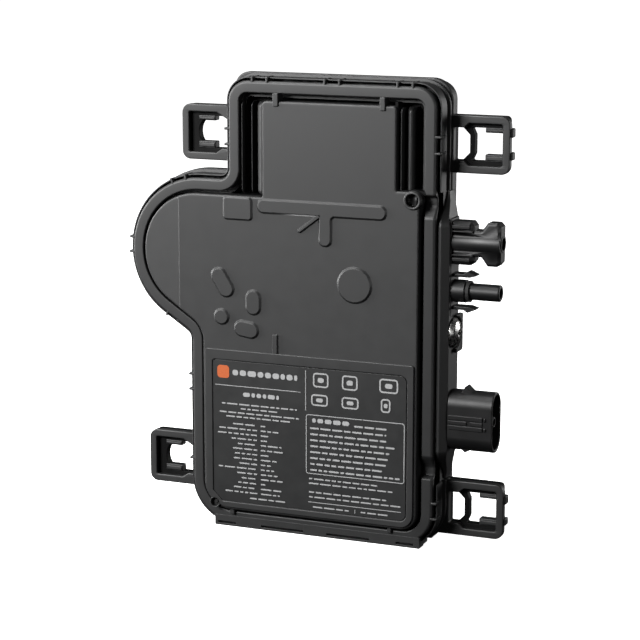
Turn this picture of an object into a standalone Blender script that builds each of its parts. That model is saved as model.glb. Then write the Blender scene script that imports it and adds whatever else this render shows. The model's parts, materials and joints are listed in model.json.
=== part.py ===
"""Micro inverter: two-shell plastic case with a round lobe, four bracket ears, a side bulkhead
with two DC connectors, an earth screw and one AC connector, and the power electronics inside.

Lengths below are in millimetres, in a layout frame: X to the right, Y to the back from the
front rim's face, Z up from the skirt's underside. to_part() turns them into metres about the
origin, which is the middle of the footprint box at the standing face."""
import math

import bmesh
import bpy
from mathutils import Matrix, Vector

MM = 0.001
GAP = 0.3                     # clearance kept between neighbouring pieces
COLLECTION = "micro_inverter"

# Case outline at the front rim's outer edge: x, z, corner radius.
RIM_RIGHT = 90.2
RIM_LEFT_UPPER = -9.9
RIM_LEFT_LOWER = -29.1
LOBE_LEFT = -59.2
LOBE_TOP = 164.6
LOBE_RADIUS = 34.0
RIM_TOP = 210.0
RIM_BOTTOM = 2.0
OUTLINE = (
    (RIM_LEFT_LOWER, RIM_BOTTOM, 20.0),
    (RIM_LEFT_LOWER, 91.6, 6.0),
    (LOBE_LEFT, 111.6, LOBE_RADIUS),
    (LOBE_LEFT, LOBE_TOP, LOBE_RADIUS),
    (RIM_LEFT_UPPER, LOBE_TOP, 5.0),
    (RIM_LEFT_UPPER, RIM_TOP, 9.5),
    (RIM_RIGHT, RIM_TOP, 9.5),
    (RIM_RIGHT, RIM_BOTTOM, 18.0),
)
ARC_STEP = 15.0               # degrees between points on a rounded corner

# Depth stack, front to back.
LABEL_FRONT = -3.5
PLATEAU_FRONT = -2.6
RIM_FRONT = 0.0
RIM_BACK = 2.2
WELL_FLOOR = 4.5
MID_FLANGE_FRONT = 5.5
COVER_INSIDE = 6.5
COVER_BACK = 13.0
REAR_RIM_FRONT = 14.2
REAR_RIM_BACK = 18.0
BACK_INSIDE = 24.7
BACK = 26.7

# Offsets of each layer from the rim outline, outwards positive.
GROOVE_OFFSET = -3.2
MID_FLANGE_OFFSET = 0.9
REAR_RIM_OFFSET = 2.9
REAR_BODY_OFFSET = 1.3
RIM_BAND = 5.5
PLATEAU_OFFSET = -6.9
LABEL_ZONE_OFFSET = -8.2
COVER_CAVITY_OFFSET = -7.6
SHELL_CAVITY_OFFSET = -1.6
WALL = 2.0
STEP = 0.3                    # small ledge where two joined layers would share a plane

# Ears.
EAR_REACH = 29.5
EAR_BUMP = 1.4
EAR_HEIGHT = 25.7
EAR_FRONT = 13.3
EAR_STEP_BACK = 16.0          # depth at which the ear's opening narrows
EAR_BACK = 20.3
EAR_BAR = 3.5                 # bar width at the front
EAR_THICK_BAR = 5.5           # top and bottom bar width behind the step
EAR_CORNER = 4.6
EAR_INNER_BAR = (100.4, 102.6)
EAR_LOW = {"upper_right": 171.4, "upper_left": 171.4, "lower_right": 4.5, "lower_left": 13.9}
LEFT_HOLE_START = 7.6         # from the left ear's outer edge
LEFT_HOLE_CORNER = 7.0
FINGER_FRONT = 15.2
FINGER_LENGTH = 8.6
FINGER_LOW = 3.0
FINGER_HIGH = 2.2

ORIGIN = Vector((
    (LOBE_LEFT - REAR_RIM_OFFSET + RIM_RIGHT + EAR_REACH + EAR_BUMP) / 2,
    (LABEL_FRONT + BACK) / 2,
    0.0,
))

# Side bulkhead and connectors; all connector axes run along X through the middle of the depth.
BULKHEAD_INNER = 91.4
BULKHEAD_FACE = 95.2
BULKHEAD_Z = (31.0, 163.0)
BULKHEAD_Y = (2.4, 21.5)
BULKHEAD_RUN_OUT = 12.5       # how far back its front face is at the two ends
AXIS_Y = ORIGIN.y
DC_SOCKET_Z = 140.9
DC_PLUG_Z = 118.8
DC_END = 117.5
EARTH_Z = 99.5
EARTH_HEAD_RADIUS = 6.9
AC_Z = 59.75
AC_END = 116.3
AC_HALF_HEIGHT = 13.95
AC_HALF_DEPTH = 7.0
AC_WALL = 1.8
COLLAR_RADIUS = 5.15
TUBE_RADIUS = 3.8
LATCH_ROOT_X = 95.6
LATCH_TIP_X = 107.0
LATCH_HALF_WIDTH = 3.0

# Electronics.
BOARD_FRONT = 19.4
BOARD_BACK = 21.0
LOBE_CENTRE = (-25.0, 130.4)


def to_part(x, y, z):
    """A layout point in millimetres as a point of the part in metres."""
    return (Vector((x, y, z)) - ORIGIN) * MM


def rounded(corners, offset=0.0, floor=None):
    """Closed outline of (x, z) points from corners (x, z, radius), grown outwards by offset."""
    count = len(corners)
    area = sum(corners[i - 1][0] * corners[i][1] - corners[i][0] * corners[i - 1][1]
               for i in range(count))
    side = 1.0 if area > 0 else -1.0
    flat = [Vector((x, z)) for x, z, _ in corners]
    normals = []
    for i in range(count):
        along = (flat[(i + 1) % count] - flat[i]).normalized()
        normals.append(Vector((along.y, -along.x)) * side)
    points = []
    for i in range(count):
        before, after = normals[i - 1], normals[i]
        corner = flat[i] + (before + after) * (offset / (1.0 + before.dot(after)))
        if floor is not None:
            corner.y = max(corner.y, floor)
        turn = side * (before.x * after.y - before.y * after.x)
        convex = 1.0 if turn > 0 else -1.0
        radius = max(corners[i][2] + offset * convex, 0.0)
        angle = math.acos(max(-1.0, min(1.0, before.dot(after))))
        if radius < 0.05:
            points.append(corner)
            continue
        centre = corner - (before + after) * (convex * radius / (1.0 + before.dot(after)))
        steps = max(2, math.ceil(math.degrees(angle) / ARC_STEP))
        for k in range(steps + 1):
            part = k / steps
            direction = (before * math.sin((1 - part) * angle) + after * math.sin(part * angle))
            direction *= convex / math.sin(angle)
            points.append(centre + direction * radius)
    return points


def link(obj):
    bpy.data.collections[COLLECTION].objects.link(obj)
    return obj


def settled(obj):
    """Replace an object by a mesh object of its evaluated shape, welded and in place."""
    bpy.context.view_layer.update()
    depsgraph = bpy.context.evaluated_depsgraph_get()
    mesh = bpy.data.meshes.new_from_object(obj.evaluated_get(depsgraph))
    mesh.transform(obj.matrix_world)
    name = obj.name
    bpy.data.objects.remove(obj)
    welded = bmesh.new()
    welded.from_mesh(mesh)
    bmesh.ops.remove_doubles(welded, verts=welded.verts, dist=5e-8)
    bmesh.ops.recalc_face_normals(welded, faces=welded.faces)
    welded.to_mesh(mesh)
    welded.free()
    result = bpy.data.objects.new(name, mesh)
    result.name = name
    return link(result)


PLANES = {
    "XZ": Matrix.Rotation(math.pi / 2, 4, "X"),
    "YZ": Matrix(((0, 0, 1, 0), (1, 0, 0, 0), (0, 1, 0, 0), (0, 0, 0, 1))),
    "XY": Matrix.Identity(4),
}


def prism(name, loops, low, high, plane="XZ"):
    """Flat outline, with any further loops as holes, extruded from low to high across plane."""
    curve = bpy.data.curves.new(name, "CURVE")
    curve.dimensions = "2D"
    curve.fill_mode = "BOTH"
    curve.extrude = (high - low) / 2 * MM
    for loop in loops:
        spline = curve.splines.new("POLY")
        spline.use_cyclic_u = True
        spline.points.add(len(loop) - 1)
        for point, place in zip(spline.points, loop):
            point.co = (place[0] * MM, place[1] * MM, 0.0, 1.0)
    obj = bpy.data.objects.new(name, curve)
    middle = (low + high) / 2
    shift = {"XZ": (0, middle, 0), "YZ": (middle, 0, 0), "XY": (0, 0, middle)}[plane]
    obj.matrix_world = Matrix.Translation(to_part(*shift)) @ PLANES[plane]
    return settled(link(obj))


def box(name, x, y, z, bevel=0.0):
    """Block between layout limits x, y and z, with an optional one-segment edge bevel."""
    low, high = to_part(x[0], y[0], z[0]), to_part(x[1], y[1], z[1])
    bpy.ops.mesh.primitive_cube_add(size=1.0, location=(low + high) / 2)
    obj = bpy.context.object
    obj.scale = high - low
    obj.name = name
    for owner in obj.users_collection:
        owner.objects.unlink(obj)
    link(obj)
    obj = settled(obj)
    if bevel:
        rounding = obj.modifiers.new("edges", "BEVEL")
        rounding.width = bevel * MM
        rounding.segments = 1
        obj = settled(obj)
    return obj


def turned(name, profile, centre, axis="X", steps=24):
    """Solid of revolution: (radius, height) profile, top first down the outer side, about axis."""
    mesh = bpy.data.meshes.new(name)
    closed = profile[0][0] > 0
    count = len(profile)
    edges = [(i, (i + 1) % count) for i in range(count if closed else count - 1)]
    mesh.from_pydata([(r * MM, 0.0, h * MM) for r, h in profile], edges, [])
    obj = link(bpy.data.objects.new(name, mesh))
    screw = obj.modifiers.new("turn", "SCREW")
    screw.steps = steps
    screw.render_steps = steps
    screw.use_merge_vertices = True
    screw.merge_threshold = 1e-5
    tilt = {"X": Matrix.Rotation(math.pi / 2, 4, "Y"),
            "Y": Matrix.Rotation(math.pi / 2, 4, "X"),
            "Z": Matrix.Identity(4)}[axis]
    obj.matrix_world = Matrix.Translation(to_part(*centre)) @ tilt
    return settled(obj)


def combine(target, tools, operation, solver="EXACT"):
    for tool in tools:
        step = target.modifiers.new(operation.lower(), "BOOLEAN")
        step.operation = operation
        step.solver = solver
        step.object = tool
        target = settled(target)
        bpy.data.objects.remove(tool)
    return target


def union(target, *tools, solver="EXACT"):
    return combine(target, tools, "UNION", solver)


def cut(target, *tools, solver="EXACT"):
    return combine(target, tools, "DIFFERENCE", solver)


def rectangle(x, z, radius=0.0):
    return rounded(((x[0], z[0], radius), (x[1], z[0], radius), (x[1], z[1], radius), (x[0], z[1], radius)))


def stadium(centre, half_length, radius, angle=0.0):
    """Capsule outline about centre; angle in degrees turns it from the horizontal."""
    points = []
    turn = math.radians(angle)
    for k in range(14):
        part = math.radians(-90 + 180 * (k % 7) / 6 + (180 if k > 6 else 0))
        reach = half_length if k < 7 else -half_length
        x, z = reach + radius * math.cos(part), radius * math.sin(part)
        points.append((centre[0] + x * math.cos(turn) - z * math.sin(turn),
                       centre[1] + x * math.sin(turn) + z * math.cos(turn)))
    return points


def circle(centre, radius, count=20):
    return [(centre[0] + radius * math.cos(2 * math.pi * k / count),
             centre[1] + radius * math.sin(2 * math.pi * k / count)) for k in range(count)]


def ring(name, outer, inner, low, high):
    return prism(name, [rounded(OUTLINE, outer, floor=STEP / 2), rounded(OUTLINE, inner)], low, high)


def plate(name, offset, low, high):
    return prism(name, [rounded(OUTLINE, offset, floor=STEP / 2)], low, high)


# Front cover -------------------------------------------------------------------------------------

COVER_SOLVER = "MANIFOLD"     # EXACT leaves open slivers along this piece's thin ledges
UPPER_PANEL_X = (6.5, 72.5)
LEFT_WELL_BOTTOM = 157.9
RIGHT_WELL_BOTTOM = 164.0
PANEL_TOP = 201.4
LABEL_ZONE_TOP = 85.9
LABEL_X = (-16.9, 78.6)
LABEL_Z = (13.4, 80.7)
LABEL_THICKNESS = 0.4
POCKET_DEPTH = 0.8
SKIRT_X = (-18.2, 84.3)
SKIRT_TOP = 3.4
SKIRT_FRONT = 0.5
SLOT_Z = (1.3, 2.1)
SKIRT_SLOTS = ((-16.4, -7.3), (5.7, 27.0), (38.8, 59.6), (73.0, 81.5))
RIB_WIDTH = 1.1
TOP_RIBS = (2.0, 9.2, 37.2, 44.3, 71.8, 78.9)
RIGHT_RIBS = (188.3, 181.0, 21.9, 14.6)
LEFT_UPPER_RIBS = (187.9, 180.8)
LEFT_LOWER_RIBS = (71.9, 64.6, 31.3)
LENS_CENTRE = (80.2, 160.2)
LENS_RADIUS = 2.2
VENT_CENTRE = (-16.9, 12.0)
VENT_RADIUS = 2.2
CLIP_X = ((12.5, 15.3), (64.3, 67.1))
CLIP_Z = (199.2, 205.2)
CLIP_FRONT = -3.2
WELLS = (((-4.2, 6.3), 158.8), ((72.7, 84.4), 164.3))     # x limits and lower end of each pocket
POCKET_BACK = 9.5

# Raised marks on the panel: x, z, corner radius; or centre, half length, radius, angle.
MARK_HEIGHT = 0.8
TEE = (
    (5.9, 150.8, 3.0), (36.0, 150.8, 1.2), (36.0, 137.2, 2.8), (42.0, 137.2, 2.8),
    (42.0, 150.6, 1.8), (68.2, 150.7, 3.0), (68.2, 157.0, 3.0), (5.9, 157.0, 3.0),
)
CAPSULES = (
    ((-11.9, 117.3), 4.0, 3.2, -62.0), ((3.5, 108.9), 2.1, 3.6, 90.0), ((0.0, 96.1), 2.3, 3.7, -8.0),
)
ROUND_MARKS = (((-12.5, 101.2), 3.6, 12), ((53.2, 120.4), 8.1, 24), (LENS_CENTRE, 4.1, 16))
PAD = ((-11.1, 3.0), (146.9, 157.6))
TAB = ((13.1, 15.7), (86.5, 94.7))
BRACE = ((26.6, 143.6), (36.3, 151.0))
BRACE_RADIUS = 0.9


def cover_outside():
    """Rim, groove wall and middle flange: the outer skin of the front cover."""
    body = plate("front_cover", GROOVE_OFFSET, RIM_BACK - WALL, COVER_BACK - STEP)
    body = cut(body, plate("rim_well", -RIM_BAND - STEP, -1.0, WELL_FLOOR), solver=COVER_SOLVER)
    body = union(body, ring("rim", 0.0, -RIM_BAND, RIM_FRONT, RIM_BACK), solver=COVER_SOLVER)
    flange = ring("flange", MID_FLANGE_OFFSET, GROOVE_OFFSET - 1.0, MID_FLANGE_FRONT, COVER_BACK)
    body = union(body, flange, solver=COVER_SOLVER)
    skirt = box("skirt", SKIRT_X, (SKIRT_FRONT, COVER_BACK - 2 * STEP), (0.0, SKIRT_TOP))
    return union(body, skirt, solver=COVER_SOLVER)


def groove_ribs():
    """Pairs of short ribs that cross the groove behind the rim."""
    depth = (RIM_BACK - 0.6, MID_FLANGE_FRONT + 0.6)
    half = RIB_WIDTH / 2
    reach = MID_FLANGE_OFFSET - 0.1
    inner = GROOVE_OFFSET - 0.8
    ribs = []
    for x in TOP_RIBS:
        ribs.append(box("rib", (x - half, x + half), depth, (RIM_TOP + inner, RIM_TOP + reach)))
    for z in RIGHT_RIBS:
        ribs.append(box("rib", (RIM_RIGHT + inner - 1.5, RIM_RIGHT + reach), depth, (z - half, z + half)))
    for z in LEFT_UPPER_RIBS:
        ribs.append(box("rib", (RIM_LEFT_UPPER - reach, RIM_LEFT_UPPER - inner), depth, (z - half, z + half)))
    for z in LEFT_LOWER_RIBS:
        ribs.append(box("rib", (RIM_LEFT_LOWER - reach, RIM_LEFT_LOWER - inner), depth, (z - half, z + half)))
    return ribs


def plateau():
    """Raised front panel with the upper box between the two wells."""
    block = plate("plateau", PLATEAU_OFFSET, PLATEAU_FRONT, WELL_FLOOR + 0.5)
    wide = (-80.0, 120.0)
    deep = (-10.0, 10.0)
    return cut(
        block,
        box("left_well", (wide[0], UPPER_PANEL_X[0]), deep, (LEFT_WELL_BOTTOM, 230.0)),
        box("right_well", (UPPER_PANEL_X[1], wide[1]), deep, (RIGHT_WELL_BOTTOM, 230.0)),
        box("top_gap", wide, deep, (PANEL_TOP, 230.0)),
    )


def plateau_cavity():
    """Room behind the plateau, one wall inside it."""
    block = plate("cavity", PLATEAU_OFFSET - WALL, PLATEAU_FRONT + WALL, COVER_INSIDE + 1.0)
    wide = (-80.0, 120.0)
    deep = (-10.0, 10.0)
    return cut(
        block,
        box("left_well", (wide[0], UPPER_PANEL_X[0] + WALL), deep, (LEFT_WELL_BOTTOM - WALL, 230.0)),
        box("right_well", (UPPER_PANEL_X[1] - WALL, wide[1]), deep, (RIGHT_WELL_BOTTOM - WALL, 230.0)),
        box("top_gap", wide, deep, (PANEL_TOP - WALL, 230.0)),
    )


def raised_features():
    """Tee bar, pad, capsules, round boss, lens collar, tab and brace on the plateau."""
    outlines = [rounded(TEE), rectangle(*PAD, 1.4), rectangle(*TAB)]
    outlines += [stadium(*capsule) for capsule in CAPSULES]
    outlines += [circle(*mark) for mark in ROUND_MARKS]
    low, high = PLATEAU_FRONT - MARK_HEIGHT, PLATEAU_FRONT + 0.6
    pieces = [prism("mark", [loop], low, high) for loop in outlines]
    (left, bottom), (right, top) = BRACE
    run, rise = right - left, top - bottom
    middle = ((left + right) / 2, (bottom + top) / 2)
    brace = stadium(middle, math.hypot(run, rise) / 2, BRACE_RADIUS, math.degrees(math.atan2(rise, run)))
    pieces.append(prism("brace", [brace], low + STEP / 2, high - STEP / 2))
    return pieces


def well_block(well, grow, front, back):
    """Block with the plan of one of the wells beside the upper panel, its sides grown by grow."""
    (left, right), bottom = well
    block = plate("well", grow - RIM_BAND - STEP, front, back)
    limits = box("limits", (left - grow, right + grow), (front - 1.0, back + 1.0), (bottom - grow, RIM_TOP))
    return combine(block, [limits], "INTERSECT")


def front_cover():
    body = cover_outside()
    body = union(body, *groove_ribs(), solver=COVER_SOLVER)
    zone = plate("label_zone", LABEL_ZONE_OFFSET, LABEL_FRONT, PLATEAU_FRONT + 1.0)
    zone = cut(zone, box("above", (-80.0, 120.0), (-10.0, 10.0), (LABEL_ZONE_TOP, 230.0)))
    panel = union(plateau(), zone, *raised_features(), solver=COVER_SOLVER)
    body = union(body, panel, solver=COVER_SOLVER)
    inside = plate("inside", COVER_CAVITY_OFFSET, COVER_INSIDE, COVER_BACK + 1.0)
    body = cut(body, inside, plateau_cavity(), solver=COVER_SOLVER)
    pocket = rectangle((LABEL_X[0] - GAP, LABEL_X[1] + GAP), (LABEL_Z[0] - GAP, LABEL_Z[1] + GAP), 3.3)
    holes = [
        prism("pocket", [pocket], LABEL_FRONT - 1.0, LABEL_FRONT + POCKET_DEPTH),
        prism("lens_hole", [circle(LENS_CENTRE, LENS_RADIUS + GAP, 16)], -8.0, 8.0),
        prism("vent_hole", [circle(VENT_CENTRE, VENT_RADIUS + GAP, 12)], -8.0, 8.0),
    ]
    holes += [box("slot", x, (-1.0, 3.0), SLOT_Z) for x in SKIRT_SLOTS]
    clips = [box("clip", x, (CLIP_FRONT, 3.0), CLIP_Z) for x in CLIP_X]
    body = cut(body, *holes, solver=COVER_SOLVER)
    body = union(body, *clips, solver=COVER_SOLVER)
    bosses = [well_block(well, WALL, COVER_INSIDE - 1.0, POCKET_BACK + WALL) for well in WELLS]
    body = union(body, *bosses, solver=COVER_SOLVER)
    pockets = [well_block(well, 0.0, WELL_FLOOR - 0.5, POCKET_BACK) for well in WELLS]
    return cut(body, *pockets, solver=COVER_SOLVER)


def cover_fittings():
    """Rating label, status lens, vent plug and the seal between the two shells."""
    label_front = LABEL_FRONT + 0.1
    label = rectangle(LABEL_X, LABEL_Z, 3.0)
    prism("rating_label", [label], label_front, label_front + LABEL_THICKNESS)
    turned("status_lens", [(0, 5.2), (1.4, 5.2), (LENS_RADIUS, 4.6), (LENS_RADIUS, 0), (0, 0)],
           (LENS_CENTRE[0], 2.2, LENS_CENTRE[1]), "Y", 16)
    turned("vent_plug", [(0, 5.2), (VENT_RADIUS, 5.2), (VENT_RADIUS, 0), (0, 0)],
           (VENT_CENTRE[0], 2.0, VENT_CENTRE[1]), "Y", 12)
    ring("perimeter_seal", -0.8, SHELL_CAVITY_OFFSET - 3.4, COVER_BACK + GAP, REAR_RIM_FRONT - GAP)


# Rear shell --------------------------------------------------------------------------------------

BOARD_POSTS = ((0.0, 195.0), (78.0, 160.0), (-16.0, 24.0), (74.0, 24.0))
POST_RADIUS = 3.6
POST_HOLE = 1.5


def ear(name, frame, opening, through, fingers):
    """Ear frame with a wide opening at its front, narrower holes behind and two fingers in them."""
    body = prism(name, [frame, *through], EAR_FRONT, EAR_BACK)
    body = cut(body, prism("opening", [opening], EAR_FRONT - 1.0, EAR_STEP_BACK))
    blocks = [box("finger", x, (FINGER_FRONT, EAR_BACK - STEP), z) for x, z in fingers]
    return union(body, *blocks)


def finger_heights(low, high):
    """Limits in Z of the lower and the upper finger, each rooted in its bar."""
    lower = (low + EAR_THICK_BAR - STEP, low + EAR_THICK_BAR + FINGER_LOW)
    upper = (high - EAR_THICK_BAR - FINGER_HIGH, high - EAR_THICK_BAR + STEP)
    return lower, upper


def ear_right(level):
    """Right ear: window, inner bar, trapezoid gap beside the shell, and bumps on the outer edge."""
    low = EAR_LOW[level]
    high = low + EAR_HEIGHT
    outer = RIM_RIGHT + EAR_REACH
    root = RIM_RIGHT - 0.5
    inner_left, inner_right = EAR_INNER_BAR
    corners = ((root, low, 0.0), (outer, low, EAR_CORNER), (outer, high, EAR_CORNER), (root, high, 0.0))
    frame = rounded(corners)
    bottom, top = low + EAR_THICK_BAR, high - EAR_THICK_BAR
    window = rectangle((inner_right, outer - EAR_BAR), (bottom, top), 1.0)
    gap_left = RIM_RIGHT + REAR_RIM_OFFSET + 0.3
    slant = inner_left - gap_left - 3.3
    gap = rounded((
        (gap_left, bottom, 0.0), (inner_left - slant, bottom, 0.5), (inner_left, bottom + slant, 0.5),
        (inner_left, top - slant, 0.5), (inner_left - slant, top, 0.5), (gap_left, top, 0.0),
    ))
    cham = EAR_THICK_BAR - EAR_BAR
    opening = rounded((
        (inner_left, low + EAR_BAR, 0.5), (outer - EAR_BAR, low + EAR_BAR, 0.8),
        (outer - EAR_BAR, high - EAR_BAR, 0.8), (inner_left, high - EAR_BAR, 0.5),
        (inner_left - cham, high - EAR_THICK_BAR, 0.0), (inner_left - cham, low + EAR_THICK_BAR, 0.0),
    ))
    reach = (outer - EAR_BAR - FINGER_LENGTH, outer - 1.0)
    body = ear("ear", frame, opening, [window, gap], [(reach, z) for z in finger_heights(low, high)])
    bumps = []
    for z in ((low + 6.4, low + 9.9), (high - 9.3, high - 5.2)):
        bumps.append(box("bump", (outer - 1.0, outer + EAR_BUMP), (EAR_FRONT + 0.8, EAR_BACK - 1.5), z))
    return union(body, *bumps)


def ear_left(level, edge):
    """Left ear: frame with one D-shaped hole that reaches to the shell at edge."""
    low = EAR_LOW[level]
    high = low + EAR_HEIGHT
    outer = edge - EAR_REACH
    root = edge + 0.5
    corners = ((outer, low, EAR_CORNER), (root, low, 0.0), (root, high, 0.0), (outer, high, EAR_CORNER))
    frame = rounded(corners)
    shell = edge - REAR_RIM_OFFSET - 0.3
    start = outer + LEFT_HOLE_START
    bottom, top = low + EAR_THICK_BAR, high - EAR_THICK_BAR
    hole = rounded((
        (start, bottom, LEFT_HOLE_CORNER), (shell, bottom, 0.5), (shell, top - 3.0, 0.5),
        (shell - 6.8, top, 0.8), (start, top, LEFT_HOLE_CORNER),
    ))
    opening = rounded((
        (outer + EAR_BAR, low + EAR_BAR, 0.8), (shell - 9.0, low + EAR_BAR, 0.5), (shell - 6.0, bottom, 0.5),
        (shell - 3.0, bottom, 0.0), (shell - 3.0, top - 1.5, 0.0), (shell - 8.5, high - EAR_BAR, 0.5),
        (outer + EAR_BAR, high - EAR_BAR, 0.8),
    ))
    reach = (start - 0.2, start + FINGER_LENGTH)
    return ear("ear", frame, opening, [hole], [(reach, z) for z in finger_heights(low, high)])


def rear_shell():
    body = plate("rear_shell", REAR_RIM_OFFSET, REAR_RIM_FRONT, REAR_RIM_BACK)
    body = union(body, plate("back_box", REAR_BODY_OFFSET, REAR_RIM_BACK - 1.0, BACK))
    body = union(body, ear_right("upper_right"), ear_right("lower_right"))
    body = union(body, ear_left("upper_left", RIM_LEFT_UPPER), ear_left("lower_left", RIM_LEFT_LOWER))
    body = cut(body, plate("inside", SHELL_CAVITY_OFFSET, REAR_RIM_FRONT - 1.0, BACK_INSIDE))
    body = cut(body, box(
        "bulkhead_seat", (BULKHEAD_INNER - GAP, 130.0), (0.0, BULKHEAD_Y[1] + GAP),
        (BULKHEAD_Z[0] - GAP, BULKHEAD_Z[1] + GAP),
    ))
    for x, z in BOARD_POSTS:
        post = prism("post", [circle((x, z), POST_RADIUS, 12)], BOARD_BACK + GAP, BACK_INSIDE + 0.5)
        body = union(body, post)
        body = cut(body, prism("post_hole", [circle((x, z), POST_HOLE + GAP, 10)], 0.0, BACK_INSIDE - 0.2))
    return union(body, box("foot", SKIRT_X, (REAR_RIM_BACK - 1.0, BACK - 2 * STEP), (0.0, SKIRT_TOP)))


# Bulkhead and connectors -------------------------------------------------------------------------


BULKHEAD_TAPER = 15.0         # height over which each end narrows to an edge
BULKHEAD_EDGE = 0.6
BULKHEAD_CHAMFER = 3.2
BULKHEAD_REAR_CHAMFER = 2.5
NECK_RADIUS = 5.0             # the socket's neck where it passes through the bulkhead
SCREW_SHANK = 1.9


def bulkhead():
    """Tapered side block that carries the connectors."""
    low, high = BULKHEAD_Z
    narrow = BULKHEAD_INNER + BULKHEAD_EDGE
    side = ((BULKHEAD_INNER, low), (narrow, low), (BULKHEAD_FACE, low + BULKHEAD_TAPER),
            (BULKHEAD_FACE, high - BULKHEAD_TAPER), (narrow, high), (BULKHEAD_INNER, high))
    front, back = BULKHEAD_Y
    plan = ((BULKHEAD_INNER, front), (narrow + BULKHEAD_EDGE, front),
            (BULKHEAD_FACE, front + BULKHEAD_CHAMFER),
            (BULKHEAD_FACE, back - BULKHEAD_REAR_CHAMFER), (narrow + 1.0, back), (BULKHEAD_INNER, back))
    run = (BULKHEAD_RUN_OUT, low + BULKHEAD_TAPER, high - BULKHEAD_TAPER)
    end_on = ((run[0], low), (front, run[1]), (front, run[2]), (run[0], high), (back, high), (back, low))
    through = (BULKHEAD_INNER - 2.0, BULKHEAD_FACE + 2.0)
    body = prism("connector_bulkhead", [side], front - 2.0, back + 2.0)
    body = combine(body, [prism("plan", [plan], low - 1.0, high + 1.0, "XY")], "INTERSECT")
    body = combine(body, [prism("end_on", [end_on], *through, "YZ")], "INTERSECT")
    body = cut(
        body,
        prism("ac_hole", [ac_outline(GAP)], *through, "YZ"),
        prism("socket_hole", [circle((AXIS_Y, DC_SOCKET_Z), NECK_RADIUS + GAP)], *through, "YZ"),
        prism("plug_hole", [circle((AXIS_Y, DC_PLUG_Z), COLLAR_RADIUS + GAP)], *through, "YZ"),
        prism("screw_hole", [circle((AXIS_Y, EARTH_Z), SCREW_SHANK + 0.1 + GAP, 12)], *through, "YZ"),
    )
    return body


def ac_outline(grow=0.0):
    radius = AC_HALF_DEPTH + grow
    return stadium((AXIS_Y, AC_Z), AC_HALF_HEIGHT - AC_HALF_DEPTH, radius, 90.0)


AC_FLOOR = 4.0                # thickness behind the shroud's mouth
AC_INSERT_TOP = 10.0
AC_SEAL_TOP = 12.0
AC_CATCH_X = (100.3, 102.4, 106.4)
AC_CATCH_RISE = 2.4
AC_CATCH_HALF = 2.6
AC_RAIL_X = (96.0, 112.0)
AC_RAIL_RISE = 0.5
AC_RAILS = ((-3.3, -1.3), (-0.9, 0.9), (1.3, 3.3))
CONTACT_RADIUS = 1.5
CONTACT_PITCH = 7.0
CONTACTS = (("ac_contact_line", -1, 9.0), ("ac_contact_earth", 0, 18.0), ("ac_contact_neutral", 1, 9.0))


def ac_connector():
    """Oblong shroud with catches, its insulating insert, seal and contacts."""
    start = BULKHEAD_INNER + GAP
    floor = start + AC_FLOOR
    shroud = prism("ac_shroud", [ac_outline()], start, AC_END, "YZ")
    shroud = cut(shroud, prism("mouth", [ac_outline(-AC_WALL)], floor, AC_END + 1.0, "YZ"))
    for sign in (1, -1):
        root = AC_Z + sign * (AC_HALF_HEIGHT - 1.0)
        peak = AC_Z + sign * (AC_HALF_HEIGHT + AC_CATCH_RISE)
        wedge = ((AC_CATCH_X[0], root), (AC_CATCH_X[1], peak), (AC_CATCH_X[2], root))
        catch = prism("catch", [wedge], AXIS_Y - AC_CATCH_HALF, AXIS_Y + AC_CATCH_HALF)
        shroud = union(shroud, catch)
    front = AXIS_Y - AC_HALF_DEPTH
    for low, high in AC_RAILS:
        rail = box("rail", AC_RAIL_X, (front - AC_RAIL_RISE, front + 1.4), (AC_Z + low, AC_Z + high))
        shroud = union(shroud, rail)
    insert = prism("ac_insert", [ac_outline(-AC_WALL - GAP)], floor + GAP, start + AC_INSERT_TOP, "YZ")
    for name, place, length in CONTACTS:
        z = AC_Z + CONTACT_PITCH * place
        hole = circle((AXIS_Y, z), CONTACT_RADIUS + GAP, 12)
        insert = cut(insert, prism("pin_hole", [hole], floor - 1.0, start + AC_SEAL_TOP, "YZ"))
        pin = [(0, length), (0.9, length), (CONTACT_RADIUS, length - 1.0), (CONTACT_RADIUS, 0), (0, 0)]
        turned(name, pin, (floor + GAP, AXIS_Y, z), "X", 12)
    outer, inner = ac_outline(-AC_WALL - GAP), ac_outline(-AC_WALL - 1.8)
    prism("ac_seal", [outer, inner], start + AC_INSERT_TOP + GAP, start + AC_SEAL_TOP, "YZ")
    return shroud


SOCKET_HALF = 9.75            # half the socket block's height
SOCKET_NOTCH = 5.9            # and at its latch notches
SOCKET_NOTCH_X = (104.2, 105.8, 109.0, 111.9)
SOCKET_HALF_DEPTH = 4.2
BARREL_START = 95.6
BARREL_RADIUS = 5.4
BORE_RADIUS = 3.3
BORE_DEPTH = 15.0
PLUG_SHOULDER = 101.8
PLUG_BORE_RADIUS = 2.3
PLUG_BORE_DEPTH = 12.0


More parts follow.
